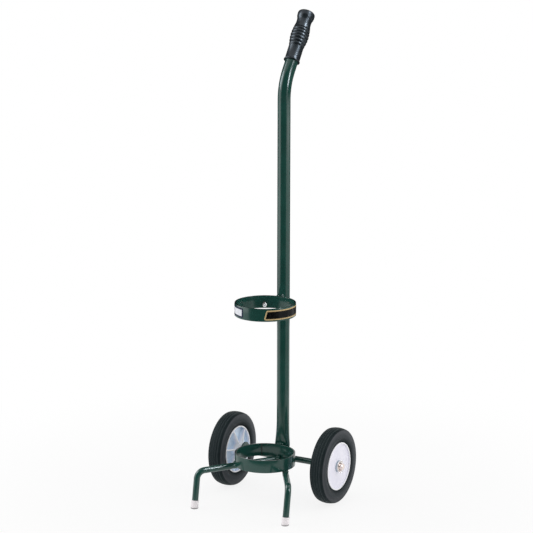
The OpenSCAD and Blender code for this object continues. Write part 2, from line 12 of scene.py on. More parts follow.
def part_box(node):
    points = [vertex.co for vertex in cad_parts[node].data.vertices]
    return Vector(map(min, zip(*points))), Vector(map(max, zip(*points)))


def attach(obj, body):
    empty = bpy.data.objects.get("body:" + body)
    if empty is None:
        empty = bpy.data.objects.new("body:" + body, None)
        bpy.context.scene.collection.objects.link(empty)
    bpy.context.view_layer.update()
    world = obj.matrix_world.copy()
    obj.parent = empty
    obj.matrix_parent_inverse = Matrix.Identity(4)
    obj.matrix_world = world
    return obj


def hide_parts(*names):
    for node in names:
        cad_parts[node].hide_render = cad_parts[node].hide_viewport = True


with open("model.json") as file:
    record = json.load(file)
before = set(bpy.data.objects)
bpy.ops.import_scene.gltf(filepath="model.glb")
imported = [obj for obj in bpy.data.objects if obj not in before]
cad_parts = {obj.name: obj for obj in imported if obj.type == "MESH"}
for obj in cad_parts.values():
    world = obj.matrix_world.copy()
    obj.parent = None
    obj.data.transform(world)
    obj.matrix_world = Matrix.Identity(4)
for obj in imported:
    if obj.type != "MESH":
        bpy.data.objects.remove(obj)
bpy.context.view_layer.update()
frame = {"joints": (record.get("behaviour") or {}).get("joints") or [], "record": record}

bl_info = {
    "name": "Cylinder Trolley",
    "version": (1, 0, 0),
    "blender": (4, 5, 0),
    "location": "3D View > Sidebar > Trolley",
    "description": "Models the finished pieces of a gas cylinder trolley",
    "category": "Add Mesh",
}

MM = 0.001
SIDES = {"left": -1, "right": 1}
X = Vector((1, 0, 0))
Y = Vector((0, 1, 0))
Z = Vector((0, 0, 1))

# Doubles, gaps between pieces that touch, play of pieces that turn, soft edge of a drawn line
MERGE = 0.002 * MM
CLEAR = 0.05 * MM
SCREW_PLAY = 0.1 * MM
HUB_PLAY = 0.06 * MM
WASHER_PLAY = 0.3 * MM
EAR_GAP = 0.3 * MM
LINE_EDGE = 0.1 * MM

# Edges that are rounded from one angle on and shaded smooth up to the other
BEVEL_FROM = math.radians(32)
SMOOTH_TO = math.radians(38)

# Colours of the stage
WHITE = (1, 1, 1)
PAPER = (0.93, 0.93, 0.93)
CLOTH = (0.01, 0.01, 0.01)

# Places that the fixed frame gives
JOINTS = {joint["name"]: joint for joint in frame["joints"]}
MOUNTS = {mount["name"]: mount for mount in frame["record"]["mounts"]}
AXLE = Vector(JOINTS["right_wheel_spin"]["pos_m"])
AXLE_MIDDLE = Vector((0, AXLE.y, AXLE.z))
LOWER_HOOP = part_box("lower_hoop")
UPPER_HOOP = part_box("upper_hoop")
MAST_FRONT, MAST_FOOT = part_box("mast_tube")[0].yz
HOOP_Y = (LOWER_HOOP[0].y + LOWER_HOOP[1].y) / 2
HOOP_FOOT = Vector((0, HOOP_Y, 0))
HOOP_R = (LOWER_HOOP[1].x - LOWER_HOOP[0].x) / 2
HOOP_BORE = MOUNTS["lower_hoop_bore"]["dims"]["r_mm"] * MM
SCREW_OUT = -Vector(JOINTS["clamp_tip_travel"]["axis"]).normalized()
SCREW_FOOT = Vector(JOINTS["clamp_screw_turn"]["pos_m"])
SCREW_SIDE = SCREW_OUT.cross(Z)


def length(name, description, millimetres):
    return FloatProperty(name=name, description=description, default=millimetres * MM, unit="LENGTH", precision=5)


def angle(name, description, degrees):
    return FloatProperty(name=name, description=description, default=math.radians(degrees), subtype="ANGLE")


def number(name, description, value):
    return IntProperty(name=name, description=description, default=value, min=1)


def amount(name, description, value):
    return FloatProperty(name=name, description=description, default=value)


def colour(name, description, red, green, blue):
    return FloatVectorProperty(
        name=name, description=description, default=(red, green, blue), size=3, subtype="COLOR", min=0, max=1
    )


class MastSettings(bpy.types.PropertyGroup):
    """Sizes of the mast tube"""

    tube_d: length("Tube diameter", "Outside diameter of the mast tube", 25.4)
    flat_t: length("Foot thickness", "Thickness of the tube where it is pressed flat", 3.3)
    flat_rise: length("Flat above axle", "Distance that the pressed flat rises above the axle", 12)
    flare_h: length("Flare height", "Height over which the tube opens from flat to round", 77)
    flare_steps: number("Flare steps", "Rings of points along the flare", 22)
    flare_bow: amount("Flare bow", "How quickly the tube opens above the flat", 2.5)
    joggle: length("Joggle", "Distance that the flare stands back above the lower hoop", 4.8)
    joggle_h: length("Joggle height", "Height of the joggle above the flat", 16)
    bend_z: length("Bend height", "Height at which the handle bend begins", 801.5)
    bend_r: length("Bend radius", "Centreline radius of the handle bend", 95)
    handle_angle: angle("Handle angle", "Angle by which the handle leans back", 34.6)
    bare: length("Bare handle", "Bare tube between the bend and the grip", 22.5)
    in_grip: length("Tube in grip", "Length of tube inside the grip", 100)
    tube_sides: number("Tube sides", "Points round the tube", 64)


class GripSettings(bpy.types.PropertyGroup):
    """Sizes of the handle grip"""

    grip_l: length("Grip length", "Length of the grip", 110)
    neck_d: length("Neck diameter", "Diameter of the plain necks", 29.4)
    swell_d: length("Swell diameter", "Diameter at the middle of the ringed swell", 36.4)
    swell_from: length("Swell start", "Distance from the mouth to the swell", 31.5)
    swell_l: length("Swell length", "Length of the ringed swell", 50)
    rings: number("Rings", "Rings round the swell", 6)
    ring_from: length("Ring start", "Distance from the mouth to the first groove", 32.2)
    ring_pitch: length("Ring pitch", "Distance between the grooves", 6.8)
    ring_depth: length("Ring depth", "Depth of the grooves between the rings", 1.5)
    flange_d: length("Flange diameter", "Diameter of the rounded end flange", 34.2)
    flange_edge: length("Flange edge", "Edge radius of the end flange", 5.8)
    flange_from: length("Flange start", "Distance from the mouth to the foot of the flange", 89)
    flange_step: length("Flange step", "Length over which the flange swells out", 11)
    lip_d: length("Lip diameter", "Diameter of the thin lip at the mouth", 32.6)
    lip_l: length("Lip length", "Length of the thin lip at the mouth", 2.4)
    socket_l: length("Socket length", "Depth of the grip's socket", 101)


class HoopSettings(bpy.types.PropertyGroup):
    """Sizes of the two hoops and the labels on the upper one"""

    edge: length("Band edge", "Rounding of the band's edges", 0.5)
    seam: angle("Seam", "Angle from +X to the seam inside the lower hoop", 126.5)
    seam_w: length("Seam width", "Width and depth of the seam", 1.6)
    hoop_sides: number("Hoop sides", "Points round a hoop", 192)
    label_h: length("Label height", "Height of both labels", 19)
    label_t: length("Label thickness", "Thickness of both labels", 0.3)
    corner: length("Label corner", "Corner radius of the labels", 3)
    edge_line: length("Dark label edge", "Width of the outer border line of the dark label", 1.3)
    gap: length("Line gap", "Gap between the two border lines of the dark label", 0.5)
    inner_line: length("Inner line", "Width of the inner border line of the dark label", 0.5)
    pale_line: length("Pale label edge", "Width of the border line of the pale label", 3.2)
    slant: angle("Label slant", "Angle by which the dark label's ends slant", 16)
    dark_from: angle("Dark label start", "Angle from +X to the dark label's start", -63)
    dark_sweep: angle("Dark label sweep", "Angle that the dark label covers", 94)
    pale_from: angle("Pale label start", "Angle from +X to the pale label's start", -160)
    pale_sweep: angle("Pale label sweep", "Angle that the pale label covers", 53.5)


class LegSettings(bpy.types.PropertyGroup):
    """Sizes of the legs and their caps"""

    rod_d: length("Rod diameter", "Diameter of the leg rods", 12.7)
    spread: angle("Leg angle", "Angle between an arm and the middle line", 32.8)
    arm_l: length("Arm length", "Length of an arm from the middle line to its bend corner", 190)
    bend_r: length("Leg bend radius", "Centreline radius of the leg bend", 17)
    lean: angle("Leg lean", "Angle by which the lower leg leans forwards", 9.5)
    arm_drop: length("Arm drop", "Distance of the arms below the axle", 3)
    rod_sides: number("Rod sides", "Points round a rod", 48)
    cap_d: length("Cap diameter", "Outside diameter of the foot caps", 14.8)
    cap_h: length("Cap height", "Height of the foot caps", 16)
    cap_floor: length("Cap floor", "Thickness of a cap's floor", 3)
    cap_edge: length("Cap edge", "Rounding of a cap's edges", 0.7)


class WheelSettings(bpy.types.PropertyGroup):
    """Sizes of the wheels and what holds them on the axle"""

    axle_d: length("Axle diameter", "Diameter of the axle", 12.7)
    axle_chamfer: length("Axle chamfer", "Chamfer at the axle's ends", 1)
    ear_w: length("Ear width", "Width across the ears pinched out of the axle", 19)
    ear_l: length("Ear length", "Length of an ear along the axle", 5)
    ear_t: length("Ear thickness", "Thickness of an ear", 6)
    tyre_w: length("Tyre width", "Width of the tyre over its walls", 29.5)
    shoulder_r: length("Tyre shoulder", "Radius of the tyre's shoulders", 4.5)
    crown_r: length("Tread crown", "Radius of the tread's crown across the tyre", 40)
    foot_r: length("Tyre foot", "Rounding of the tyre's walls beside the hub's lips", 0.5)
    foot_step: length("Foot step", "Distance of the tyre's walls behind the hub's lips", 1.5)
    lip_r: length("Hub lip radius", "Outside radius of the hub's lips", 48.1)
    seat_r: length("Tyre seat radius", "Radius of the hub's channel under the tyre", 47)
    rim_r: length("Rim inner radius", "Inside radius of the hub's rim", 45.6)
    lip_w: length("Lip width", "Width of each lip", 2)
    hub_w: length("Hub width", "Width of the hub over its lips", 28)
    dish: length("Dish", "Depth of the outer face behind the outer lip", 2.8)
    web_t: length("Web thickness", "Thickness of the hub's web", 16)
    outer_boss_r: length("Outer boss radius", "Radius of the boss on the outer face", 11.5)
    outer_boss_z: length("Outer boss end", "Distance of the outer boss's face from the wheel's middle", 14.6)
    inner_boss_r: length("Inner boss radius", "Radius of the boss on the inner face", 13.5)
    inner_boss_z: length("Inner boss end", "Distance of the inner boss's face from the wheel's middle", 28)
    ribs: number("Ribs", "Ribs on the hub's inner face", 6)
    rib_phase: angle("Rib phase", "Angle of the first rib from level", -10.5)
    rib_t: length("Rib thickness", "Thickness of a rib", 2.6)
    rib_step: length("Rib step", "Distance of a rib's edge behind the inner lip", 2)
    rib_drop: length("Rib drop", "Distance of a rib's edge below the inner boss's face", 7)
    grooves: number("Tread grooves", "Grooves round the tread", 4)
    groove_pitch: length("Groove pitch", "Distance between the tread grooves", 5.4)
    groove_w: length("Groove width", "Width of a tread groove", 1.5)
    groove_depth: length("Groove depth", "Depth of a tread groove", 1.4)
    wheel_sides: number("Wheel sides", "Points round a wheel", 144)
    pin_z: length("Pin place", "Distance of the split pin from the wheel's middle", 18.3)
    pin_wire: length("Pin wire", "Diameter of the split pin's wire", 1.5)
    pin_leg: length("Pin leg", "Length of the split pin's bent legs", 6)
    pin_spread: angle("Pin spread", "Angle to which the split pin's legs are bent", 55)
    pin_eye_r: length("Pin eye", "Mean radius of the split pin's eye", 2.45)


class ClampSettings(bpy.types.PropertyGroup):
    """Sizes of the clamp screw, outwards from the hoop's axis"""

    screw_d: length("Screw diameter", "Diameter of the clamp screw", 7.9)
    pitch: length("Thread pitch", "Distance between the turns of the thread", 1.4)
    thread_depth: length("Thread depth", "Depth of the thread", 0.84)
    tip_d: length("Tip diameter", "Diameter of the swivel tip", 6.6)
    tip_l: length("Tip length", "Length of the swivel tip", 3)
    tip_in: length("Tip place", "Distance of the tip's face from the hoop's axis", 41.15)
    stem_d: length("Stem diameter", "Diameter of the tip's stem inside the screw", 3)
    stem_l: length("Stem length", "Length of the tip's stem inside the screw", 4)
    nut_w: length("Nut width", "Width across the flats of the nut", 14.3)
    nut_out: length("Nut end", "Distance of the nut's outer face from the hoop's axis", 66.95)
    head_in: length("Head start", "Distance of the screw's head from the hoop's axis", 71.25)
    head_l: length("Head length", "Length of the screw's head", 9)
    head_d: length("Head diameter", "Diameter of the screw's head", 10)
    wing_span: length("Wing span", "Span of the two wings", 28)
    wing_t: length("Wing thickness", "Thickness of the wings", 3)


class WeldSettings(bpy.types.PropertyGroup):
    """Sizes of the weld beads"""

    bead_r: length("Bead radius", "Radius of the weld beads", 3)
    ripple: length("Ripple pitch", "Distance between the ripples of a bead", 2.4)
    ripple_depth: amount("Ripple depth", "Share by which a bead narrows between ripples", 0.16)
    axle_bead_l: length("Axle bead", "Length of the beads along the axle", 30)
    top_bead_l: length("Top bead", "Length of the bead on top of the lower hoop", 14)


class FinishSettings(bpy.types.PropertyGroup):
    """Colours of the finishes"""

    green: colour("Green enamel", "Paint of the frame", 0.012, 0.066, 0.053)
    green_deep: colour("Deep green", "Paint where it lies thicker", 0.009, 0.053, 0.042)
    # Painted shade: this dark colour is the painted dark reflection on the hoops' upward-facing edges and the painted
    # shade in the lower hoop's seam
    rim: colour("Rim", "Thin paint on the hoops' upper edges", 0.007, 0.008, 0.006)
    grip: colour("Grip", "Vinyl of the handle grip", 0.008, 0.012, 0.014)
    grip_bloom: colour("Grip bloom", "Duller patches on the handle grip", 0.014, 0.020, 0.023)
    grip_sheen: colour("Grip sheen", "Tint of the light that the handle grip reflects", 0.80, 0.88, 1.0)
    tyre: colour("Tyre", "Rubber of the tyres", 0.011, 0.019, 0.021)
    # Colour of the random dust and of the painted light on the tyres' walls
    tyre_dust_and_wall_light: colour("Tyre dust", "Dusty bloom on the tyres' walls", 0.082, 0.088, 0.097)
    # Paler colour along the tread grooves and their edges
    groove_pale: colour("Groove dust", "Dust in the tread grooves", 0.064, 0.082, 0.086)
    hub: colour("Hub", "Plastic of the hubs", 0.86, 0.845, 0.93)
    # Painted highlight on the hubs' lips and bosses
    hub_lip_highlight: colour("Hub lip", "Plastic on the lips and bosses of the hubs", 0.95, 0.95, 0.98)
    hub_shade: colour("Hub shade", "Plastic of the hubs where it is older", 0.81, 0.80, 0.90)
    # Painted shade between the hub's ribs
    pocket_shade: colour("Hub pocket", "Plastic deep between the ribs", 0.74, 0.86, 1.0)
    # Painted shade on the clamp screw's thread inside the hoop
    thread_shade: colour("Grease", "Grease on the clamp screw's thread", 0.020, 0.030, 0.028)
    boss_shade: colour("Boss side", "Plastic round the side of the outer boss", 0.38, 0.45, 0.53)
    cap: colour("Cap", "Vinyl of the foot caps", 0.94, 0.89, 0.91)
    # Painted shade along the foot caps' bottom edge
    cap_bottom_shade: colour("Cap scuff", "Scuffed lower edge of the foot caps", 0.20, 0.19, 0.195)
    zinc: colour("Zinc", "Plating of the small steel pieces", 0.80, 0.78, 0.76)
    zinc_warm: colour("Warm zinc", "Warmer patches in the plating", 0.84, 0.73, 0.68)
    nylon: colour("Nylon", "Swivel tip of the screw", 0.84, 0.86, 0.88)
    black_film: colour("Black film", "Field of the dark label", 0.004, 0.004, 0.004)
    gold_line: colour("Gold line", "Border line of the dark label", 0.74, 0.55, 0.28)
    white_film: colour("White film", "Field of the pale label", 0.80, 0.82, 0.87)
    blue_line: colour("Blue line", "Border line of the pale label", 0.010, 0.018, 0.05)
    paint_gloss: amount("Paint gloss", "Specular level of the paint", 0.55)
    grip_gloss: amount("Grip gloss", "Specular level of the grip", 0.6)
    rubber_gloss: amount("Rubber gloss", "Specular level of the tyres", 0.06)


class StageSettings(bpy.types.PropertyGroup):
    """Camera and light"""

    azimuth: angle("Azimuth", "Camera's direction round the trolley", 29.573)
    elevation: angle("Elevation", "Camera's height above the horizon", 12.281)
    roll: angle("Roll", "Camera's roll", 0.097)
    distance: length("Distance", "Camera's distance from its target", 4075.16)
    target_x: length("Target X", "Camera's target", 40.941)
    target_y: length("Target Y", "Camera's target, from the hoops' axis", -67.509)
    target_z: length("Target Z", "Camera's target", 500)
    lens: amount("Lens", "Focal length in millimetres on a 36 mm sensor", 143.66)
    ambient: amount("Ambient", "Strength of the light from all round", 0.65)
    key: amount("Key", "Power of the softbox on the right in watts", 24)
    fill: amount("Fill", "Power of the softbox on the left in watts", 26)
    right_streak: amount("Right streak", "Power of the strip on the right that only gloss shows, in watts", 36)
    left_streak: amount("Left streak", "Power of the strip on the left that only gloss shows, in watts", 24)
    top_streak: amount("Top streak", "Power of the strip above that only gloss shows, in watts", 14)
    streak_tint: colour("Streak tint", "Colour of the three strips", 0.84, 0.94, 1.0)
    floor_r: length("Floor", "Radius of the floor", 30000)
    shadow_r: length("Shadow reach", "Radius of floor that shows the shadow", 900)
    glow: amount("Floor glow", "Share of plain white in the floor beside the trolley", 0.84)


SETTINGS = {
    "trolley_mast": MastSettings,
    "trolley_grip": GripSettings,
    "trolley_hoop": HoopSettings,
    "trolley_leg": LegSettings,
    "trolley_wheel": WheelSettings,
    "trolley_clamp": ClampSettings,
    "trolley_weld": WeldSettings,
    "trolley_finish": FinishSettings,
    "trolley_stage": StageSettings,
}


class Value:
    """A shader socket on which Python's operators add Math nodes."""

    def __init__(self, shader, socket):
        self.shader = shader
        self.socket = socket

    def math(self, operation, first, second=0.0):
        return self.shader.node("ShaderNodeMath", {"operation": operation}, {0: first, 1: second})

    def __add__(self, other):
        return self.math("ADD", self, other)

    def __radd__(self, other):
        return self.math("ADD", other, self)

    def __sub__(self, other):
        return self.math("SUBTRACT", self, other)

    def __rsub__(self, other):
        return self.math("SUBTRACT", other, self)

    def __mul__(self, other):
        return self.math("MULTIPLY", self, other)

    def __rmul__(self, other):
        return self.math("MULTIPLY", other, self)

    def __abs__(self):
        return self.math("ABSOLUTE", self)

    def larger(self, other):
        return self.math("MAXIMUM", self, other)


class Shader:
    """A node tree that is written as expressions."""

    def __init__(self, tree):
        self.tree = tree
        tree.nodes.clear()

    def node(self, kind, settings=None, inputs=None, output=0):
        """Adds a node, sets its settings, fills or links its sockets and returns one of its outputs."""
        made = self.tree.nodes.new(kind)
        for key, value in (settings or {}).items():
            setattr(made, key, value)
        for key, value in (inputs or {}).items():
            socket = made.inputs[key]
            if isinstance(value, Value):
                self.tree.links.new(value.socket, socket)
            elif socket.type == "RGBA" and len(value) == 3:
                socket.default_value = (*value, 1)
            else:
                socket.default_value = value
        return Value(self, made.outputs[output]) if made.outputs else made

    def blend(self, share, first, second, end="ShaderNodeOutputMaterial"):
        """Ends the tree with a blend of two surfaces."""
        blended = self.node("ShaderNodeMixShader", inputs={0: share, 1: first, 2: second})
        self.node(end, inputs={"Surface": blended})

    def place(self):
        return self.node("ShaderNodeTexCoord", output="Object")

    def normal(self):
        return self.node("ShaderNodeNewGeometry", output="Normal")

    def part(self, vector, axis):
        return self.node("ShaderNodeSeparateXYZ", inputs={0: vector}, output="XYZ".index(axis))

    def at(self, axis):
        """One coordinate of the spot that is shaded."""
        return self.part(self.place(), axis)

    def vector(self, operation, first, second=(0, 0, 0), output="Value"):
        return self.node("ShaderNodeVectorMath", {"operation": operation}, {0: first, 1: second}, output)

    def spot(self, origin):
        """The spot that is shaded, measured from an origin."""
        return self.vector("SUBTRACT", self.place(), origin, "Vector")

    def along(self, vector, direction):
        """How far a vector reaches in a direction."""
        return self.vector("DOT_PRODUCT", vector, direction)

    def noise(self, scale, detail=3.0, roughness=0.55):
        inputs = {"Vector": self.place(), "Scale": scale, "Detail": detail, "Roughness": roughness}
        return self.node("ShaderNodeTexNoise", inputs=inputs)

    def mix(self, factor, first, second):
        return self.node("ShaderNodeMix", {"data_type": "RGBA"}, {0: factor, 6: first, 7: second}, 2)

    def ease(self, value, low, high, start=0.0, end=1.0):
        """Runs smoothly from start to end as a value passes from low to high."""
        inputs = {"Value": value, "From Min": low, "From Max": high, "To Min": start, "To Max": end}
        return self.node("ShaderNodeMapRange", {"interpolation_type": "SMOOTHSTEP"}, inputs)

    def bump(self, height, strength, distance):
        inputs = {"Strength": strength, "Distance": distance, "Height": height}
        return self.node("ShaderNodeBump", inputs=inputs, output="Normal")


def new_material(name):
    """A material and the empty shader of its node tree."""
    material = bpy.data.materials.new(name)
    material.use_nodes = True
    return material, Shader(material.node_tree)


def finish(build):
    """Turns a function that gives the sockets of a surface into one that makes its material once."""

    def make():
        material = bpy.data.materials.get(build.__name__)
        if not material:
            material, shader = new_material(build.__name__)
            surface = shader.node("ShaderNodeBsdfPrincipled", inputs=build(shader))
            shader.node("ShaderNodeOutputMaterial", inputs={"Surface": surface})
        return material

    return make


def tints():
    return bpy.context.scene.trolley_finish


def level(swing):
    """A level direction, by its angle from +X."""
    return Vector((math.cos(swing), math.sin(swing), 0))


def enamel(s, rim=0.0):
    """Sockets of the frame's gloss paint, with a painted dark reflection on upward-facing edges by a share."""
    paint = s.mix(s.ease(s.noise(14.0, 4.0), 0.35, 0.7), tints().green_deep, tints().green)
    # Painted dark reflection on upward-facing surfaces, broken up at random
    upward_shade = s.ease(s.part(s.normal(), "Z"), 0.8, 0.97) * s.ease(s.noise(160.0), 0.2, 0.5, 0.6, 1.0)
    return {
        "Base Color": s.mix(upward_shade * rim, paint, tints().rim),
        "Roughness": s.ease(s.noise(55.0, 4.0), 0.3, 0.75, 0.15, 0.24),
        "Normal": s.bump(s.noise(900.0, 2.0), 0.05, 0.0004),
        "Specular IOR Level": tints().paint_gloss,
    }


@finish
def green_enamel(s):
    return enamel(s)


@finish
def band_enamel(s):
    """Paint of the hoops, with a painted dark reflection on their upper edges and painted shade in the lower hoop's
    seam.
    """
    sockets = enamel(s, 0.9)
    hoop = bpy.context.scene.trolley_hoop
    out = level(hoop.seam)
    spot = s.spot(HOOP_FOOT)
    onward = s.along(spot, out)
    top = LOWER_HOOP[1].z
    # Painted shade in the seam's groove, which is also rougher
    seam = s.ease(abs(s.along(spot, Z.cross(out))), hoop.seam_w, hoop.seam_w / 3) * s.ease(onward, 0, HOOP_BORE)
    seam = seam * s.ease(onward, HOOP_R - MM, HOOP_R - 2 * MM) * s.ease(s.at("Z"), top + MM, top)
    sockets["Base Color"] = s.mix(seam * 0.9, sockets["Base Color"], tints().rim)
    sockets["Roughness"] = sockets["Roughness"] + seam * 0.4
    return sockets


@finish
def axle_enamel(s):
    """Paint between the wheels and bare metal at the ends."""
    sockets = enamel(s)
    bare = s.ease(abs(s.at("X")), AXLE.x, AXLE.x + 4 * MM)
    sockets["Base Color"] = s.mix(bare, sockets["Base Color"], tints().zinc_warm)
    sockets["Metallic"] = bare * 0.85
    return sockets


@finish
def grip_vinyl(s):
    bloom_and_wall_light = s.ease(s.noise(60.0, 4.0), 0.4, 0.75)
    return {
        "Base Color": s.mix(bloom_and_wall_light, tints().grip, tints().grip_bloom),
        "Roughness": 0.31 + bloom_and_wall_light * 0.08,
        "Normal": s.bump(s.noise(1400.0, 3.0), 0.04, 0.0004),
        "Specular IOR Level": tints().grip_gloss,
        "Specular Tint": tints().grip_sheen,
    }


def off_axle(s, low, high, end=1.0):
    """Eases from 0 to an end between two distances from the wheels' axis, in millimetres."""
    back = s.at("Y") - AXLE.y
    rise = s.at("Z") - AXLE.z
    return s.ease(back * back + rise * rise, (low * MM) ** 2, (high * MM) ** 2, 0.0, end)


@finish
def rubber_with_dust_and_painted_light(s):
    """Rubber with random dust and painted light on its walls, which are also shaded as a bulge by a bump, and paler
    along its grooves.
    """
    wheel = bpy.context.scene.trolley_wheel
    pitch = wheel.groove_pitch
    share = wheel.groove_w / pitch
    dust = s.ease(s.noise(38.0, 6.0, 0.65), 0.42, 0.78)
    wall = s.ease(abs(s.part(s.normal(), "X")), 0.75, 0.97)
    # Painted light on the walls: lighter than the tread, darker beside the hub and lightest towards the outer edge
    bloom_and_wall_light = wall * (off_axle(s, 49.5, 55, 0.44) + off_axle(s, 58, 71, 0.74))
    bulge = off_axle(s, 47, 58) * off_axle(s, 75, 60)
    across = abs(s.at("X")) - AXLE.x
    turns = across.math("FRACT", across * (1 / pitch) + 8.0)
    # Paler along the tread grooves and their edges
    groove = s.ease(abs(turns - 0.5), share * 1.1, share * 0.4) * s.ease(abs(across), pitch * 2.1, pitch * 1.9)
    rubber = s.mix(bloom_and_wall_light * 0.85 + dust * 0.12, tints().tyre, tints().tyre_dust_and_wall_light)
    return {
        "Base Color": s.mix(groove * 0.85, rubber, tints().groove_pale),
        "Roughness": 0.52 + dust * 0.16,
        "Normal": s.bump(bulge + s.noise(1100.0, 4.0) * 0.014, 1.0, 0.007),
        "Specular IOR Level": tints().rubber_gloss,
    }


@finish
def white_moulding(s):
    """Hub plastic that varies at random, with painted shade, bluish between the ribs and round the side of the outer
    boss, and a painted highlight on the lips.
    """
    cloud = s.ease(s.noise(26.0, 3.0), 0.35, 0.75)
    depth = abs(s.at("X")) - AXLE.x
    # Painted shade between the ribs and round the side of the outer boss
    pocket_shade = s.ease(depth, -13 * MM, -7 * MM) * s.ease(depth, 5 * MM, 4 * MM)
    boss = off_axle(s, 12.6, 12) * s.ease(depth, 14.4 * MM, 14 * MM) * s.ease(depth, 8 * MM, 9 * MM)
    # Painted highlight on the lips and bosses
    lip = s.ease(abs(depth), 12.6 * MM, 13.4 * MM)
    face = s.mix(lip, s.mix(cloud, tints().hub, tints().hub_shade), tints().hub_lip_highlight)
    shade = s.mix(boss, tints().pocket_shade, tints().boss_shade)
    return {
        "Base Color": s.mix(pocket_shade.larger(boss), face, shade),
        "Roughness": 0.36 + cloud * 0.1,
        "Normal": s.bump(s.noise(1300.0, 2.0), 0.05, 0.0003),
    }


@finish
def vinyl_shaded_at_floor(s):
    """Cap vinyl with painted shade along its bottom edge beside the floor, where it is also rougher."""
    # Painted shade along the bottom edge next to the floor, with a rougher surface there
    scuff_and_shade = s.ease(s.at("Z") + s.noise(260.0, 4.0) * 0.003, 5.5 * MM, 2 * MM)
    return {
        "Base Color": s.mix(scuff_and_shade * 0.9, tints().cap, tints().cap_bottom_shade),
        "Roughness": 0.48 + scuff_and_shade * 0.25,
        "Normal": s.bump(s.noise(900.0, 3.0), 0.08, 0.0004),
    }


def zinc(s):
    """Sockets of dull zinc plate."""
    patch = s.ease(s.noise(180.0, 4.0), 0.38, 0.7)
    return {
        "Base Color": s.mix(patch, tints().zinc, tints().zinc_warm),
        "Metallic": 1.0,
        "Roughness": 0.3 + patch * 0.14,
        "Normal": s.bump(s.noise(1500.0, 3.0), 0.1, 0.0002),
    }


@finish
def dull_zinc(s):
    return zinc(s)


@finish
def zinc_shaded_in_hoop(s):
    """Zinc plate with painted shade on the thread inside the hoop, left off beside the tip."""
    sockets = zinc(s)
    clamp = bpy.context.scene.trolley_clamp
    away = s.vector("LENGTH", s.spot(SCREW_FOOT))
    shade_stop = clamp.tip_in + clamp.tip_l + clamp.stem_l
    # Painted shade on the thread between the hoop's bore and the tip, where the plate is also less metallic
    thread_shade = s.ease(away, HOOP_BORE + MM, HOOP_BORE - 2 * MM) * s.ease(away, shade_stop, shade_stop + 2 * MM)
    sockets["Base Color"] = s.mix(thread_shade * 0.92, sockets["Base Color"], tints().thread_shade)
    sockets["Metallic"] = 1.0 - thread_shade * 0.9
    return sockets


def film(s, shade):
    """Sockets of smooth plastic."""
    scuff_and_shade = s.ease(s.noise(120.0, 5.0), 0.5, 0.8)
    worn = [part * 0.85 + 0.004 for part in shade]
    return {
        "Base Color": s.mix(scuff_and_shade, shade, worn),
        "Roughness": 0.26 + scuff_and_shade * 0.2,
        "Normal": s.bump(s.noise(700.0, 2.0), 0.03, 0.0002),
        "Specular IOR Level": 0.15,
    }


@finish
def nylon(s):
    return film(s, tints().nylon)


class LabelPlan:
    """One label on the upper hoop, worked out from its sizes."""

    def __init__(self, start, sweep, lean, *stripes):
        sizes = bpy.context.scene.trolley_hoop
        self.start, self.lean, self.stripes = start, lean, stripes
        self.height, self.thickness, self.corner = sizes.label_h, sizes.label_t, sizes.corner
        self.slant = self.height * math.tan(lean) / HOOP_R
        self.sweep = sweep - self.slant
        self.low = (UPPER_HOOP[0].z + UPPER_HOOP[1].z - self.height) / 2

    def on_band(self, swing, z):
        """A place just off the hoop's outside."""
        return HOOP_FOOT + level(swing) * (HOOP_R + CLEAR) + Z * z

    def lines(self, s):
        """1 on the border lines, each of which lies between two distances from the rounded rim."""
        ahead = level(self.start + (self.sweep + self.slant) / 2)
        spot = s.spot(HOOP_FOOT + Z * (self.low + self.height / 2))
        rise = s.part(spot, "Z")
        swing = rise.math("ARCTAN2", s.along(spot, Z.cross(ahead)), s.along(spot, ahead))
        aside = abs(swing * HOOP_R - rise * math.tan(self.lean))
        past_end = aside * math.cos(self.lean) - (self.sweep / 2 * HOOP_R * math.cos(self.lean) - self.corner)
        past_side = abs(rise) - (self.height / 2 - self.corner)
        out_end, out_side = past_end.larger(0), past_side.larger(0)
        beyond = rise.math("SQRT", out_end * out_end + out_side * out_side)
        depth = self.corner - beyond + (0 - past_end.larger(past_side)).larger(0)
        found = 0.0
        for near, far in self.stripes:
            line = s.ease(depth, near - LINE_EDGE, near + LINE_EDGE) * s.ease(depth, far + LINE_EDGE, far - LINE_EDGE)
            found = line + found
        return found


def dark_plan():
    s = bpy.context.scene.trolley_hoop
    inner = s.edge_line + s.gap
    return LabelPlan(s.dark_from, s.dark_sweep, s.slant, (-MM, s.edge_line), (inner, inner + s.inner_line))


def pale_plan():
    s = bpy.context.scene.trolley_hoop
    return LabelPlan(s.pale_from, s.pale_sweep, 0, (-MM, s.pale_line))


def lined_film(s, plan, shade, line_shade):
    """Sockets of film with the border lines of a label."""
    sockets = film(s, shade)
    sockets["Base Color"] = s.mix(plan.lines(s), sockets["Base Color"], line_shade)
    return sockets


@finish
def black_film(s):
    return lined_film(s, dark_plan(), tints().black_film, tints().gold_line)


@finish
def white_film(s):
    return lined_film(s, pale_plan(), tints().white_film, tints().blue_line)


def rest_hands():
    """Leaves edit mode with nothing selected."""
    if bpy.context.object and bpy.context.object.mode != "OBJECT":
        bpy.ops.object.mode_set(mode="OBJECT")
    bpy.ops.object.select_all(action="DESELECT")


def take_up(piece):
    rest_hands()
    piece.select_set(True)
    bpy.context.view_layer.objects.active = piece


def facing(along):
    """The turn that points a primitive's own Z along a direction."""
    return along.to_track_quat("Z", "Y").to_euler()


def begin(name, add, **settings):
    """Adds a primitive, puts its place into its mesh and opens it for editing."""
    rest_hands()
    add(**settings)
    piece = bpy.context.active_object
    piece.name = name
    piece.data.name = name
    bpy.ops.object.transform_apply(location=True, rotation=True, scale=True)
    bpy.ops.object.mode_set(mode="EDIT")
    bpy.ops.mesh.select_mode(type="VERT")
    select_all()
    return piece


def select_all():
    bpy.ops.mesh.select_all(action="SELECT")


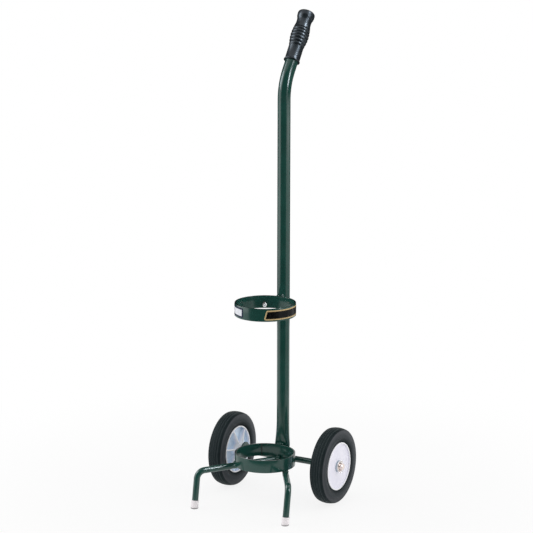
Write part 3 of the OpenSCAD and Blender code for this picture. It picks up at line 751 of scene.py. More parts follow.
def select_where(test):
    """Selects the points of the open mesh that pass a test of their place."""
    mesh = bmesh.from_edit_mesh(bpy.context.object.data)
    for point in mesh.verts:
        point.select_set(test(point.co))
    mesh.select_flush_mode()
    bmesh.update_edit_mesh(bpy.context.object.data)


def merge_doubles():
    select_all()
    bpy.ops.mesh.remove_doubles(threshold=MERGE)
    select_all()


def face_out():
    """Turns the faces outwards and ends the editing."""
    select_all()
    bpy.ops.mesh.normals_make_consistent(inside=False)
    bpy.ops.object.mode_set(mode="OBJECT")


def close_up():
    """Merges doubles, closes open ends and turns the faces outwards."""
    merge_doubles()
    bpy.ops.mesh.fill_holes(sides=0)
    face_out()


def draw_line(name, points):
    """Draws a line through points by extruding one vertex after another."""
    piece = begin(name, bpy.ops.mesh.primitive_plane_add, size=MM, location=points[0])
    bpy.ops.mesh.merge(type="CENTER")
    for here, there in zip(points, points[1:]):
        bpy.ops.mesh.extrude_vertices_move(TRANSFORM_OT_translate={"value": there - here})
    merge_doubles()
    return piece


def lathe(name, outline, centre, axis, outward, sides):
    """Turns an outline of (radius, height) pairs round an axis into a solid."""
    piece = draw_line(name, [centre + outward * r + axis * h for r, h in outline])
    bpy.ops.mesh.spin(steps=sides, angle=math.tau, center=centre, axis=axis)
    close_up()
    return piece


def ring(outline):
    """An outline that ends where it starts."""
    return [*outline, outline[0]]


def arc(r, h, radius, start, sweep, steps):
    """Points of an outline round a centre, from an angle and over a sweep."""
    turns = [start + sweep * k / steps for k in range(steps + 1)]
    return [(r + radius * math.cos(a), h + radius * math.sin(a)) for a in turns]


def plate(name, outline, along, thickness):
    """A flat plate with an outline of points, thickened to both sides of them."""
    piece = draw_line(name, ring(outline))
    bpy.ops.mesh.edge_face_add()
    bpy.ops.transform.translate(value=along * (-thickness / 2))
    bpy.ops.mesh.extrude_region_move(TRANSFORM_OT_translate={"value": along * thickness})
    close_up()
    return piece


def bar(name, place, along, radius, depth, sides=48):
    """A straight bar round a middle point, also as the tool for a hole."""
    piece = begin(
        name, bpy.ops.mesh.primitive_cylinder_add,
        vertices=sides, radius=radius, depth=depth, location=place, rotation=facing(along),
    )
    rest_hands()
    return piece


def apply_modifier(piece, kind, **settings):
    take_up(piece)
    modifier = piece.modifiers.new(kind.lower(), kind)
    for key, value in settings.items():
        setattr(modifier, key, value)
    bpy.ops.object.modifier_apply(modifier=modifier.name)


def soften(piece, width, segments=3):
    """Rounds the sharp edges of a piece."""
    apply_modifier(piece, "BEVEL", width=width, segments=segments, limit_method="ANGLE", angle_limit=BEVEL_FROM)


def cut(piece, tool, operation="DIFFERENCE"):
    """Cuts a tool out of a piece, or joins it on, and puts the tool away."""
    apply_modifier(piece, "BOOLEAN", operation=operation, object=tool, solver="EXACT")
    bpy.data.objects.remove(tool)


def slice_off(piece, place, keep):
    """Cuts a piece at a plane, keeps the side that a direction shows and closes the cut."""
    take_up(piece)
    bpy.ops.object.mode_set(mode="EDIT")
    select_all()
    bpy.ops.mesh.bisect(plane_co=place, plane_no=keep, use_fill=True, clear_inner=True)
    bpy.ops.object.mode_set(mode="OBJECT")


def join(name, pieces):
    """Makes several shells one piece."""
    take_up(pieces[0])
    for piece in pieces:
        piece.select_set(True)
    bpy.ops.object.join()
    pieces[0].name = name
    pieces[0].data.name = name
    return pieces[0]


def hand_over(piece, body, material, node):
    """Smooths and paints a finished piece and puts it on its body, in place of the frame's node."""
    take_up(piece)
    bpy.ops.object.shade_smooth_by_angle(angle=SMOOTH_TO)
    piece.data.materials.append(material)
    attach(piece, body)
    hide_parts(node)
    rest_hands()


class Bender:
    """Draws a round bar as a bending bench does, in straight runs and turns."""

    def __init__(self, name, start, heading, radius, sides):
        self.here = Vector(start)
        self.heading = Vector(heading).normalized()
        self.piece = begin(
            name, bpy.ops.mesh.primitive_circle_add,
            vertices=sides, radius=radius, location=start, rotation=facing(self.heading),
        )

    def run(self, distance):
        step = self.heading * distance
        bpy.ops.mesh.extrude_region_move(TRANSFORM_OT_translate={"value": step})
        self.here = self.here + step

    def turn(self, swing, centre_r, towards, steps):
        """Turns towards a direction, round a centre that lies on that side."""
        centre = self.here + towards * centre_r
        axis = self.heading.cross(towards)
        bpy.ops.mesh.spin(steps=steps, angle=swing, center=centre, axis=-axis)
        swung = Matrix.Rotation(swing, 3, axis)
        self.here = centre + swung @ (self.here - centre)
        self.heading = swung @ self.heading

    def resize(self, share):
        bpy.ops.transform.resize(value=(share, share, share), center_override=self.here)

    def end(self):
        close_up()
        return self.piece


def mast_axis():
    return MAST_FRONT + bpy.context.scene.trolley_mast.tube_d / 2


def handle_line():
    """The point where the handle's straight end begins, and its direction."""
    s = bpy.context.scene.trolley_mast
    along = Vector((0, math.sin(s.handle_angle), math.cos(s.handle_angle)))
    back = mast_axis() + s.bend_r * (1 - math.cos(s.handle_angle))
    return Vector((0, back, s.bend_z + s.bend_r * math.sin(s.handle_angle))), along


def smooth(u):
    u = min(1, max(0, u))
    return u * u * (3 - 2 * u)


def pressed_out(s, thickness):
    """Distance by which pressing the tube to a thickness moves its halves aside."""
    return math.pi * (s.tube_d - thickness) / 4


def foot_levels(s):
    """Height, thickness and middle of the tube's rings, from its flat end to where it is round."""
    flat_top = AXLE.z + s.flat_rise
    flat_middle = MAST_FRONT + s.flat_t / 2
    levels = [(MAST_FOOT, s.flat_t, flat_middle), (flat_top, s.flat_t, flat_middle)]
    for k in range(1, s.flare_steps + 1):
        u = k / s.flare_steps
        rise = u * s.flare_h
        past = rise / s.joggle_h
        thickness = s.flat_t + (s.tube_d - s.flat_t) * (1 - (1 - u) ** s.flare_bow)
        back = s.joggle * smooth(past) * math.exp(-max(0, past - 1)) * (1 - u**6)
        levels.append((flat_top + rise, thickness, MAST_FRONT + thickness / 2 + back))
    return levels


class TROLLEY_OT_mast(bpy.types.Operator):
    """Model the mast tube with its pressed foot and bent handle"""

    bl_idname = "trolley.mast"
    bl_label = "Mast"

    def execute(self, context):
        s = context.scene.trolley_mast
        levels = foot_levels(s)
        low, thickness, middle = levels[0]
        bench = Bender("mast", Vector((0, middle, low)), Z, thickness / 2, s.tube_sides)
        self.open_out(low, pressed_out(s, thickness))
        for (z, t, y), (next_z, next_t, next_y) in zip(levels, levels[1:]):
            self.pick_level(z)
            bench.here = Vector((0, y, z))
            bench.run(next_z - z)
            self.open_out(next_z, -pressed_out(s, t))
            self.pick_level(next_z)
            bench.resize(next_t / t)
            bpy.ops.transform.resize(value=(1, 1, 0), center_override=bench.here)
            bpy.ops.transform.translate(value=Y * (next_y - y))
            self.open_out(next_z, pressed_out(s, next_t))
        top = levels[-1][0]
        self.pick_level(top)
        bench.here = Vector((0, mast_axis(), top))
        bench.run(s.bend_z - top)
        bench.turn(s.handle_angle, s.bend_r, Y, steps=24)
        bench.run(s.bare + s.in_grip)
        piece = bench.end()
        soften(piece, width=0.6 * MM)
        hand_over(piece, "frame", green_enamel(), "mast_tube")
        return {"FINISHED"}

    def pick_level(self, z):
        select_where(lambda p: abs(p.z - z) < MERGE)

    def open_out(self, z, shift):
        """Moves the two halves of the ring at a height apart."""
        for side in SIDES.values():
            select_where(lambda p: abs(p.z - z) < MERGE and p.x * side > MERGE)
            bpy.ops.transform.translate(value=X * side * shift)


class TROLLEY_OT_grip(bpy.types.Operator):
    """Model the ringed handle grip"""

    bl_idname = "trolley.grip"
    bl_label = "Handle grip"

    def execute(self, context):
        mast = context.scene.trolley_mast
        bend_end, along = handle_line()
        mouth = bend_end + along * mast.bare
        piece = lathe("grip", self.outline(context.scene.trolley_grip, mast), mouth, along, X, sides=96)
        hand_over(piece, "frame", grip_vinyl(), "handle_grip")
        return {"FINISHED"}

    def outline(self, s, mast):
        neck = s.neck_d / 2
        bore = mast.tube_d / 2 + CLEAR
        lip = s.lip_d / 2
        round_r = s.lip_l / 2
        points = [(0, s.socket_l), (bore, s.socket_l), (bore, 0)]
        points += arc(lip - round_r, round_r, round_r, -math.pi / 2, math.pi, 8)
        slope = 0.8 * MM
        points += [(neck + 0.75 * slope, s.lip_l + slope), (neck, s.lip_l + 3 * slope)]
        steps = s.rings * 20
        for k in range(steps + 1):
            u = k / steps
            along = s.swell_from + u * s.swell_l
            turn = (along - s.ring_from) / s.ring_pitch
            swell = (s.swell_d / 2 - neck) * math.sin(math.pi * u)
            if 0 < turn < s.rings:
                swell -= s.ring_depth * (1 - abs(math.sin(math.pi * turn)) ** 0.6)
            points.append((neck + swell, along))
        flange = s.flange_d / 2
        top = s.grip_l - s.flange_edge
        for k in range(13):
            u = k / 12
            points.append((neck + (flange - neck) * smooth(u), s.flange_from + u * s.flange_step))
        points.append((flange, (s.flange_from + s.flange_step + top) / 2))
        points += arc(flange - s.flange_edge, top, s.flange_edge, 0, math.pi / 2, 10)
        return [*points, (0, s.grip_l)]


def band(name, box, s):
    low, high = box
    outline = ring([(HOOP_BORE, low.z), (HOOP_R, low.z), (HOOP_R, high.z), (HOOP_BORE, high.z)])
    piece = lathe(name, outline, HOOP_FOOT, Z, X, s.hoop_sides)
    soften(piece, s.edge)
    return piece


class TROLLEY_OT_hoops(bpy.types.Operator):
    """Model the two hoops that hold the cylinder"""

    bl_idname = "trolley.hoops"
    bl_label = "Hoops"

    def execute(self, context):
        s = context.scene.trolley_hoop
        clamp = context.scene.trolley_clamp
        lower = band("lower_band", LOWER_HOOP, s)
        cut(lower, self.seam(s))
        upper = band("upper_band", UPPER_HOOP, s)
        hole_r = clamp.screw_d / 2 + SCREW_PLAY
        cut(upper, bar("drill", SCREW_FOOT + SCREW_OUT * HOOP_R, SCREW_OUT, hole_r, HOOP_R / 2))
        hand_over(lower, "frame", band_enamel(), "lower_hoop")
        hand_over(upper, "frame", band_enamel(), "upper_hoop")
        return {"FINISHED"}

    def seam(self, s):
        """A slot between the ends of the strip that the lower hoop is rolled from."""
        out = level(s.seam)
        low, high = (Z * (LOWER_HOOP[k].z + (2 * k - 1) * MM) for k in (0, 1))
        near, far = (HOOP_FOOT + out * (HOOP_BORE + s.seam_w * k) for k in (-1, 1))
        return plate("seam", [near + low, far + low, far + high, near + high], Z.cross(out), s.seam_w)


class TROLLEY_OT_labels(bpy.types.Operator):
    """Model the two blank labels on the upper hoop"""

    bl_idname = "trolley.labels"
    bl_label = "Blank labels"

    def execute(self, context):
        self.label("dark_plate", dark_plan(), "label_dark", black_film(), "dark_label")
        self.label("pale_plate", pale_plan(), "label_pale", white_film(), "pale_label")
        return {"FINISHED"}

    def label(self, name, plan, slot, material, node):
        start, low, height, cells = plan.start, plan.low, plan.height, 6
        end = [plan.on_band(start + plan.slant * k / cells, low + height * k / cells) for k in range(cells + 1)]
        piece = draw_line(name, end)
        bpy.ops.mesh.spin(steps=48, angle=-plan.sweep, center=HOOP_FOOT, axis=Z)
        for swing, hand in ((start, -1), (start + plan.sweep, 1)):
            self.round_corner(plan, swing, low, hand, -1)
            self.round_corner(plan, swing + plan.slant, low + height, hand, 1)
        face_out()
        first = piece.data.polygons[0]
        if (first.center - HOOP_FOOT).dot(first.normal) < 0:
            piece.data.flip_normals()
        apply_modifier(piece, "SOLIDIFY", thickness=plan.thickness, offset=1.0)
        hand_over(piece, "frame", material, node)

    def round_corner(self, plan, swing, z, hand, rise):
        """Trims one corner with planes that touch its circle."""
        upright = Z * rise
        side = (Z.cross(level(swing)) * math.cos(plan.lean) - Z * math.sin(plan.lean)) * hand
        centre = plan.on_band(swing, z) - (upright + side) * plan.corner / (1 + upright.dot(side))
        for k in range(1, 6):
            away = upright.slerp(side, k / 6)
            select_all()
            bpy.ops.mesh.bisect(plane_co=centre + away * plan.corner, plane_no=away, clear_outer=True)


class TROLLEY_OT_clamp(bpy.types.Operator):
    """Model the clamp screw with its weld nut and swivel tip"""

    bl_idname = "trolley.clamp"
    bl_label = "Clamp screw"

    def execute(self, context):
        s = context.scene.trolley_clamp
        self.nut(s)
        self.screw(s)
        self.tip(s)
        return {"FINISHED"}

    def nut(self, s):
        sunk = 1.2 * MM
        low = HOOP_R - sunk
        height = s.nut_out - low
        place = SCREW_FOOT + SCREW_OUT * (low + height / 2)
        piece = bar("weld_nut", place, SCREW_OUT, s.nut_w / math.sqrt(3), height, sides=6)
        soften(piece, width=0.8 * MM)
        cut(piece, bar("drill", place, SCREW_OUT, s.screw_d / 2 + SCREW_PLAY, height * 2))
        hand_over(piece, "frame", green_enamel(), "clamp_nut")

    def screw(self, s):
        start = s.tip_in + s.tip_l + CLEAR
        major = s.screw_d / 2
        minor = major - s.thread_depth
        points = [(0, start), (minor, start)]
        turns = int((s.head_in - start) / s.pitch) - 1
        for k in range(turns):
            z = start + (k + 0.5) * s.pitch
            points += [(major, z - 0.1 * s.pitch), (major, z + 0.1 * s.pitch), (minor, z + 0.5 * s.pitch)]
        head = s.head_d / 2
        end = s.head_in + s.head_l
        crown = 1.4 * MM
        points += [(minor, s.head_in), (head, s.head_in)]
        points += [(head * 0.94, end - crown), (head * 0.6, end), (0, end)]
        piece = lathe("wing_screw", points, SCREW_FOOT, SCREW_OUT, Z, sides=48)
        for side in SIDES.values():
            cut(piece, self.wing(s, side), "UNION")
        hand_over(piece, "screw", zinc_shaded_in_hoop(), "clamp_screw")

    def wing(self, s, side):
        rise = s.head_l / 3
        end = s.head_in + s.head_l
        reach = s.wing_span / 2
        outline = [
            (s.head_d / 5, s.head_in + rise), (reach - rise, s.head_in + 1.6 * rise),
            (reach, s.head_in + 2.2 * rise), (reach, end + rise / 2), (reach - rise / 2, end + rise),
            (reach - rise, end + rise), (s.head_d / 5, end - rise / 2),
        ]
        points = [SCREW_FOOT + SCREW_SIDE * side * x + SCREW_OUT * z for x, z in outline]
        wing = plate("wing", points, Z, s.wing_t)
        soften(wing, width=0.6 * MM)
        return wing

    def tip(self, s):
        stem = s.stem_d / 2
        radius = s.tip_d / 2
        dimple = s.tip_d / 5
        back = s.tip_in + s.tip_l
        outline = [
            (0, s.tip_in + dimple), (dimple, s.tip_in + dimple), (dimple, s.tip_in), (radius, s.tip_in),
            (radius, back), (stem, back), (stem, back + s.stem_l), (0, back + s.stem_l),
        ]
        piece = lathe("screw_tip", outline, SCREW_FOOT, SCREW_OUT, Z, sides=40)
        soften(piece, width=0.4 * MM)
        hand_over(piece, "tip", nylon(), "clamp_tip")


class LegLine:
    """The run of one leg, worked out from its sizes."""

    def __init__(self, s, side):
        self.out = Vector((side * math.sin(s.spread), -math.cos(s.spread), 0))
        self.down = Vector((0, -math.sin(s.lean), -math.cos(s.lean)))
        self.start = Vector((0, AXLE.y, AXLE.z - s.arm_drop))
        self.turn = self.out.angle(self.down)
        self.towards = (self.down - self.out * self.down.dot(self.out)).normalized()
        tangent = s.bend_r * math.tan(self.turn / 2)
        shin = self.start.z / math.cos(s.lean)
        self.arm = s.arm_l - tangent
        self.shin = shin - tangent
        self.foot = self.start + self.out * s.arm_l + self.down * shin


class TROLLEY_OT_legs(bpy.types.Operator):
    """Model the two legs, which carry the cylinder's base"""

    bl_idname = "trolley.legs"
    bl_label = "Legs"

    def execute(self, context):
        s = context.scene.trolley_leg
        for name, side in SIDES.items():
            line = LegLine(s, side)
            bench = Bender("leg_" + name, line.start, line.out, s.rod_d / 2, s.rod_sides)
            bench.run(line.arm)
            bench.turn(line.turn, s.bend_r, line.towards, steps=20)
            bench.run(line.shin - s.cap_floor)
            piece = bench.end()
            slice_off(piece, X * side * CLEAR, X * side)
            slice_off(piece, Y * (MAST_FRONT - CLEAR), -Y)
            hand_over(piece, "frame", green_enamel(), name + "_leg")
        return {"FINISHED"}


class TROLLEY_OT_caps(bpy.types.Operator):
    """Model the two foot caps"""

    bl_idname = "trolley.caps"
    bl_label = "Foot caps"

    def execute(self, context):
        s = context.scene.trolley_leg
        for name, side in SIDES.items():
            line = LegLine(s, side)
            bore = s.rod_d / 2 + CLEAR
            below = -s.cap_d * math.tan(s.lean)
            outline = [
                (0, below), (s.cap_d / 2, below), (s.cap_d / 2, s.cap_h), (bore, s.cap_h),
                (bore, s.cap_floor), (0, s.cap_floor),
            ]
            piece = lathe("cap_" + name, outline, line.foot, -line.down, X, sides=64)
            slice_off(piece, Vector((0, 0, 0)), Z)
            soften(piece, s.cap_edge, segments=4)
            hand_over(piece, "frame", vinyl_shaded_at_floor(), name + "_foot_cap")
        return {"FINISHED"}


def wheel_centre(side):
    return AXLE_MIDDLE + X * side * AXLE.x


def pin_place(s, side):
    return wheel_centre(side) + X * side * s.pin_z


class TROLLEY_OT_axle(bpy.types.Operator):
    """Model the axle with its pinched ears and split pin holes"""

    bl_idname = "trolley.axle"
    bl_label = "Axle"

    def execute(self, context):
        s = context.scene.trolley_wheel
        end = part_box("axle")[1].x
        radius = s.axle_d / 2
        small = radius - s.axle_chamfer
        inner = end - s.axle_chamfer
        outline = [(0, -end), (small, -end), (radius, -inner), (radius, inner), (small, end), (0, end)]
        piece = lathe("axle_rod", outline, AXLE_MIDDLE, X, Z, sides=48)
        for name, side in SIDES.items():
            inside = abs(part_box(name + "_inner_washer")[side < 0].x) - EAR_GAP
            cut(piece, self.ear(s, side * (inside - s.ear_l / 2)), "UNION")
            cut(piece, bar("drill", pin_place(s, side), Z, s.pin_wire * 1.1, s.axle_d * 2, sides=24))
        hand_over(piece, "frame", axle_enamel(), "axle")
        return {"FINISHED"}

    def ear(self, s, x):
        size = (s.ear_l, s.ear_t, s.ear_w)
        ear = begin("ear", bpy.ops.mesh.primitive_cube_add, size=1, location=AXLE_MIDDLE + X * x, scale=size)
        rest_hands()
        soften(ear, width=1.2 * MM, segments=4)
        return ear


class TROLLEY_OT_tyres(bpy.types.Operator):
    """Model the two grooved tyres"""

    bl_idname = "trolley.tyres"
    bl_label = "Tyres"

    def execute(self, context):
        s = context.scene.trolley_wheel
        for name, side in SIDES.items():
            piece = lathe("tyre_" + name, self.outline(s), wheel_centre(side), X * side, Z, s.wheel_sides)
            hand_over(piece, name + "_wheel", rubber_with_dust_and_painted_light(), name + "_tyre")
        return {"FINISHED"}

    def outline(self, s):
        lip = s.lip_r + CLEAR
        seat = s.seat_r + CLEAR
        channel = s.hub_w / 2 - s.lip_w - CLEAR
        inset = s.tyre_w / 2 - s.shoulder_r
        lean = math.asin(inset / (s.crown_r - s.shoulder_r))
        shoulder = AXLE.z - s.crown_r + (s.crown_r - s.shoulder_r) * math.cos(lean)
        foot = lip + s.foot_r
        foot_x = s.hub_w / 2 - s.foot_step
        half = arc(foot, foot_x - s.foot_r, s.foot_r, math.pi, -math.pi / 2, 3)
        steps, swelling = 16, 11
        for k in range(1, steps):
            swell = math.sin(math.pi / 2 * min(1, k / swelling)) * (s.tyre_w / 2 - foot_x)
            half.append((foot + (shoulder - foot) * k / steps, foot_x + swell))
        half += arc(shoulder, inset, s.shoulder_r, math.pi / 2, lean - math.pi / 2, 9)
        edge = s.crown_r * math.sin(lean)
        outer = (s.grooves - 1) / 2 * s.groove_pitch + s.groove_w / 2
        half += [self.on_tread(s, edge + (outer - edge) * k / 4, 0) for k in (1, 2, 3)]
        tread = []
        for k in range(s.grooves):
            x = outer - s.groove_w / 2 - k * s.groove_pitch
            for shift, drop in ((0.5, 0), (0.36, 1), (-0.36, 1), (-0.5, 0)):
                tread.append(self.on_tread(s, x + shift * s.groove_w, drop * s.groove_depth))
            if k < s.grooves - 1:
                gap = s.groove_pitch - s.groove_w
                tread += [self.on_tread(s, x - s.groove_w / 2 - gap * u / 4, 0) for u in (1, 2, 3)]
        mirrored = [(r, -x) for r, x in reversed(half)]
        return ring([*half, *tread, *mirrored, (lip, -channel), (seat, -channel), (seat, channel), (lip, channel)])

    def on_tread(self, s, x, drop):
        return AXLE.z - s.crown_r + math.sqrt(s.crown_r**2 - x**2) - drop, x


class TROLLEY_OT_hubs(bpy.types.Operator):
    """Model the two hubs with their ribs"""

    bl_idname = "trolley.hubs"
    bl_label = "Hubs"

    def execute(self, context):
        s = context.scene.trolley_wheel
        for name, side in SIDES.items():
            piece = lathe("hub_" + name, self.outline(s), wheel_centre(side), X * side, Z, s.wheel_sides)
            soften(piece, width=0.55 * MM)
            cut(piece, self.ribs(s, side), "UNION")
            hand_over(piece, name + "_wheel", white_moulding(), name + "_hub")
        return {"FINISHED"}

    def outline(self, s):
        bore = s.axle_d / 2 + HUB_PLAY
        half = s.hub_w / 2
        channel = half - s.lip_w
        web_out = half - s.dish
        web_in = web_out - s.web_t
        return ring([
            (bore, s.outer_boss_z), (s.outer_boss_r, s.outer_boss_z), (s.outer_boss_r, web_out),
            (s.rim_r, web_out), (s.rim_r, half), (s.lip_r, half), (s.lip_r, channel), (s.seat_r, channel),
            (s.seat_r, -channel), (s.lip_r, -channel), (s.lip_r, -half), (s.rim_r, -half), (s.rim_r, web_in),
            (s.inner_boss_r, web_in), (s.inner_boss_r, -s.inner_boss_z), (bore, -s.inner_boss_z),
        ])

    def ribs(self, s, side):
        half = s.hub_w / 2
        web = half - s.dish - s.web_t / 2
        inner = (s.axle_d / 2 + s.inner_boss_r) / 2
        outer = (s.rim_r + s.seat_r) / 2
        outline = [
            (inner, web), (inner, s.rib_drop - s.inner_boss_z), (outer, s.rib_step - half), (outer, web),
        ]
        made = []
        for k in range(s.ribs):
            a = math.tau * k / s.ribs + s.rib_phase
            outward = Vector((0, math.cos(a), math.sin(a)))
            points = [wheel_centre(side) + outward * r + X * side * x for r, x in outline]
            rib = plate("rib", points, X.cross(outward), s.rib_t)
            soften(rib, width=0.5 * MM, segments=2)
            made.append(rib)
        return join("ribs", made)


class TROLLEY_OT_washers(bpy.types.Operator):
    """Model the washers on both sides of each wheel"""

    bl_idname = "trolley.washers"
    bl_label = "Washers"

    def execute(self, context):
        s = context.scene.trolley_wheel
        bore = s.axle_d / 2 + WASHER_PLAY
        coats = (("inner", "green_paint", green_enamel()), ("outer", "zinc_plate", dull_zinc()))
        for name in SIDES:
            for place, slot, material in coats:
                node = f"{name}_{place}_washer"
                low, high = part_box(node)
                radius = (high.z - low.z) / 2
                outline = ring([(bore, low.x), (radius, low.x), (radius, high.x), (bore, high.x)])
                piece = lathe(f"washer_{place}_{name}", outline, AXLE_MIDDLE, X, Z, sides=64)
                soften(piece, width=0.3 * MM)
                hand_over(piece, "frame", material, node)
        return {"FINISHED"}


class TROLLEY_OT_pins(bpy.types.Operator):
    """Model the split pins that keep the wheels on"""

    bl_idname = "trolley.pins"
    bl_label = "Split pins"

    def execute(self, context):
        s = context.scene.trolley_wheel
        for name, side in SIDES.items():
            piece = self.pin(s, "split_pin_" + name, pin_place(s, side))
            hand_over(piece, "frame", dull_zinc(), name + "_cotter_pin")
        return {"FINISHED"}

    def pin(self, s, name, place):
        """Bends one wire: a leg, up through the axle, round the eye and down again."""
        radius = s.pin_wire / 2
        bend_r = s.pin_wire
        offset = radius * 1.02
        leg = Vector((0, -math.sin(s.pin_spread), -math.cos(s.pin_spread)))
        rise = bend_r * math.sin(s.pin_spread)
        inset = bend_r * (1 - math.cos(s.pin_spread))
        spare = 0.8 * MM
        knee = place + Vector((0, -offset - inset, -s.axle_d / 2 - spare - rise))
        shank = s.axle_d + 2 * spare
        swing = math.acos((offset + bend_r) / (s.pin_eye_r + bend_r))
        bench = Bender(name, knee + leg * s.pin_leg, -leg, radius, sides=16)

        def bend(swing, radius, hand=1, steps=6):
            bench.turn(swing, radius, X.cross(bench.heading) * hand, steps)

        bench.run(s.pin_leg)
        bend(s.pin_spread, bend_r)
        bench.run(shank)
        bend(swing, bend_r)
        bend(math.pi + 2 * swing, s.pin_eye_r, hand=-1, steps=28)
        bend(swing, bend_r)
        bench.run(shank)
        bend(s.pin_spread, bend_r)
        bench.run(s.pin_leg)
        return bench.end()


class TROLLEY_OT_welds(bpy.types.Operator):
    """Model the rippled weld beads"""

    bl_idname = "trolley.welds"
    bl_label = "Weld beads"

    def execute(self, context):
        s = context.scene.trolley_weld
        self.hoop_welds(context, s)
        self.foot_welds(context, s)
        self.leg_welds(context, s)
        return {"FINISHED"}

    def bead(self, s, start, end, radius):
        """One bead: a bar that swells and narrows from ripple to ripple and tapers at its ends."""
        along = end - start
        ripples = max(2, round(along.length / s.ripple))
        steps = ripples * 5
        share = tip = 0.35
        bench = Bender("bead", start, along, radius * tip, sides=14)
        for k in range(1, steps + 1):
            u = k / steps
            taper = min(1, tip + 5 * u, tip + 5 * (1 - u))
            wave = 1 - s.ripple_depth * (1 - abs(math.sin(math.pi * ripples * u)))
            bench.run(along.length / steps)
            bench.resize(taper * wave / share)
            share = taper * wave
        return bench.end()

    def gather(self, name, beads, node):
        piece = join(name, beads)
        hand_over(piece, "frame", green_enamel(), node)

    def hoop_welds(self, context, s):
        tube_r = context.scene.trolley_mast.tube_d / 2
        groove = math.sqrt(s.bead_r / (1 / tube_r + 1 / HOOP_R))
        beads = []
        for side in SIDES.values():
            foot = Vector((side * groove, MAST_FRONT + s.bead_r / 4, UPPER_HOOP[0].z))
            beads.append(self.bead(s, foot, foot + Z * (UPPER_HOOP[1].z - foot.z + s.bead_r * 1.5), s.bead_r))
        self.gather("welds_upper", beads, "upper_hoop_welds")

    def foot_welds(self, context, s):
        mast = context.scene.trolley_mast
        axle_r = context.scene.trolley_wheel.axle_d / 2
        back = MAST_FRONT + mast.flat_t
        half = X * s.axle_bead_l / 2
        beads = []
        for side in (-1, 1):
            middle = Vector((0, back, AXLE.z + side * (axle_r - s.bead_r / 4)))
            beads.append(self.bead(s, middle - half, middle + half, s.bead_r))
        top = Vector((0, MAST_FRONT + s.bead_r / 3, LOWER_HOOP[1].z))
        reach = X * s.top_bead_l / 2
        beads.append(self.bead(s, top - reach, top + reach, s.bead_r * 1.2))
        side_x = mast.flat_t / 2 + pressed_out(mast, mast.flat_t)
        for side in SIDES.values():
            low = Vector((side * side_x, MAST_FRONT - s.bead_r / 2, LOWER_HOOP[0].z))
            beads.append(self.bead(s, low, low + Z * (AXLE.z + mast.flat_rise - low.z), s.bead_r))
        self.gather("welds_foot", beads, "mast_foot_welds")

    def leg_welds(self, context, s):
        leg = context.scene.trolley_leg
        z = LOWER_HOOP[0].z - s.bead_r / 2
        beads = []
        for side in SIDES.values():
            out = LegLine(leg, side).out
            across = Z.cross(out)
            from_axle = AXLE.y - HOOP_Y
            chord = math.sqrt(HOOP_R**2 - (from_axle * math.sin(leg.spread)) ** 2)
            reach = from_axle * math.cos(leg.spread) + chord
            middle = Vector((0, AXLE.y, z)) + out * reach
            for edge in (-1, 1):
                place = middle + across * edge * leg.rod_d / 4
                half = across * s.bead_r
                beads.append(self.bead(s, place - half, place + half, s.bead_r))
        knot = Vector((0, MAST_FRONT - s.bead_r * 2, LOWER_HOOP[0].z - s.bead_r / 4))
        beads.append(self.bead(s, knot - X * s.bead_r * 1.6, knot + X * s.bead_r * 1.6, s.bead_r * 1.3))
        self.gather("welds_legs", beads, "leg_welds")


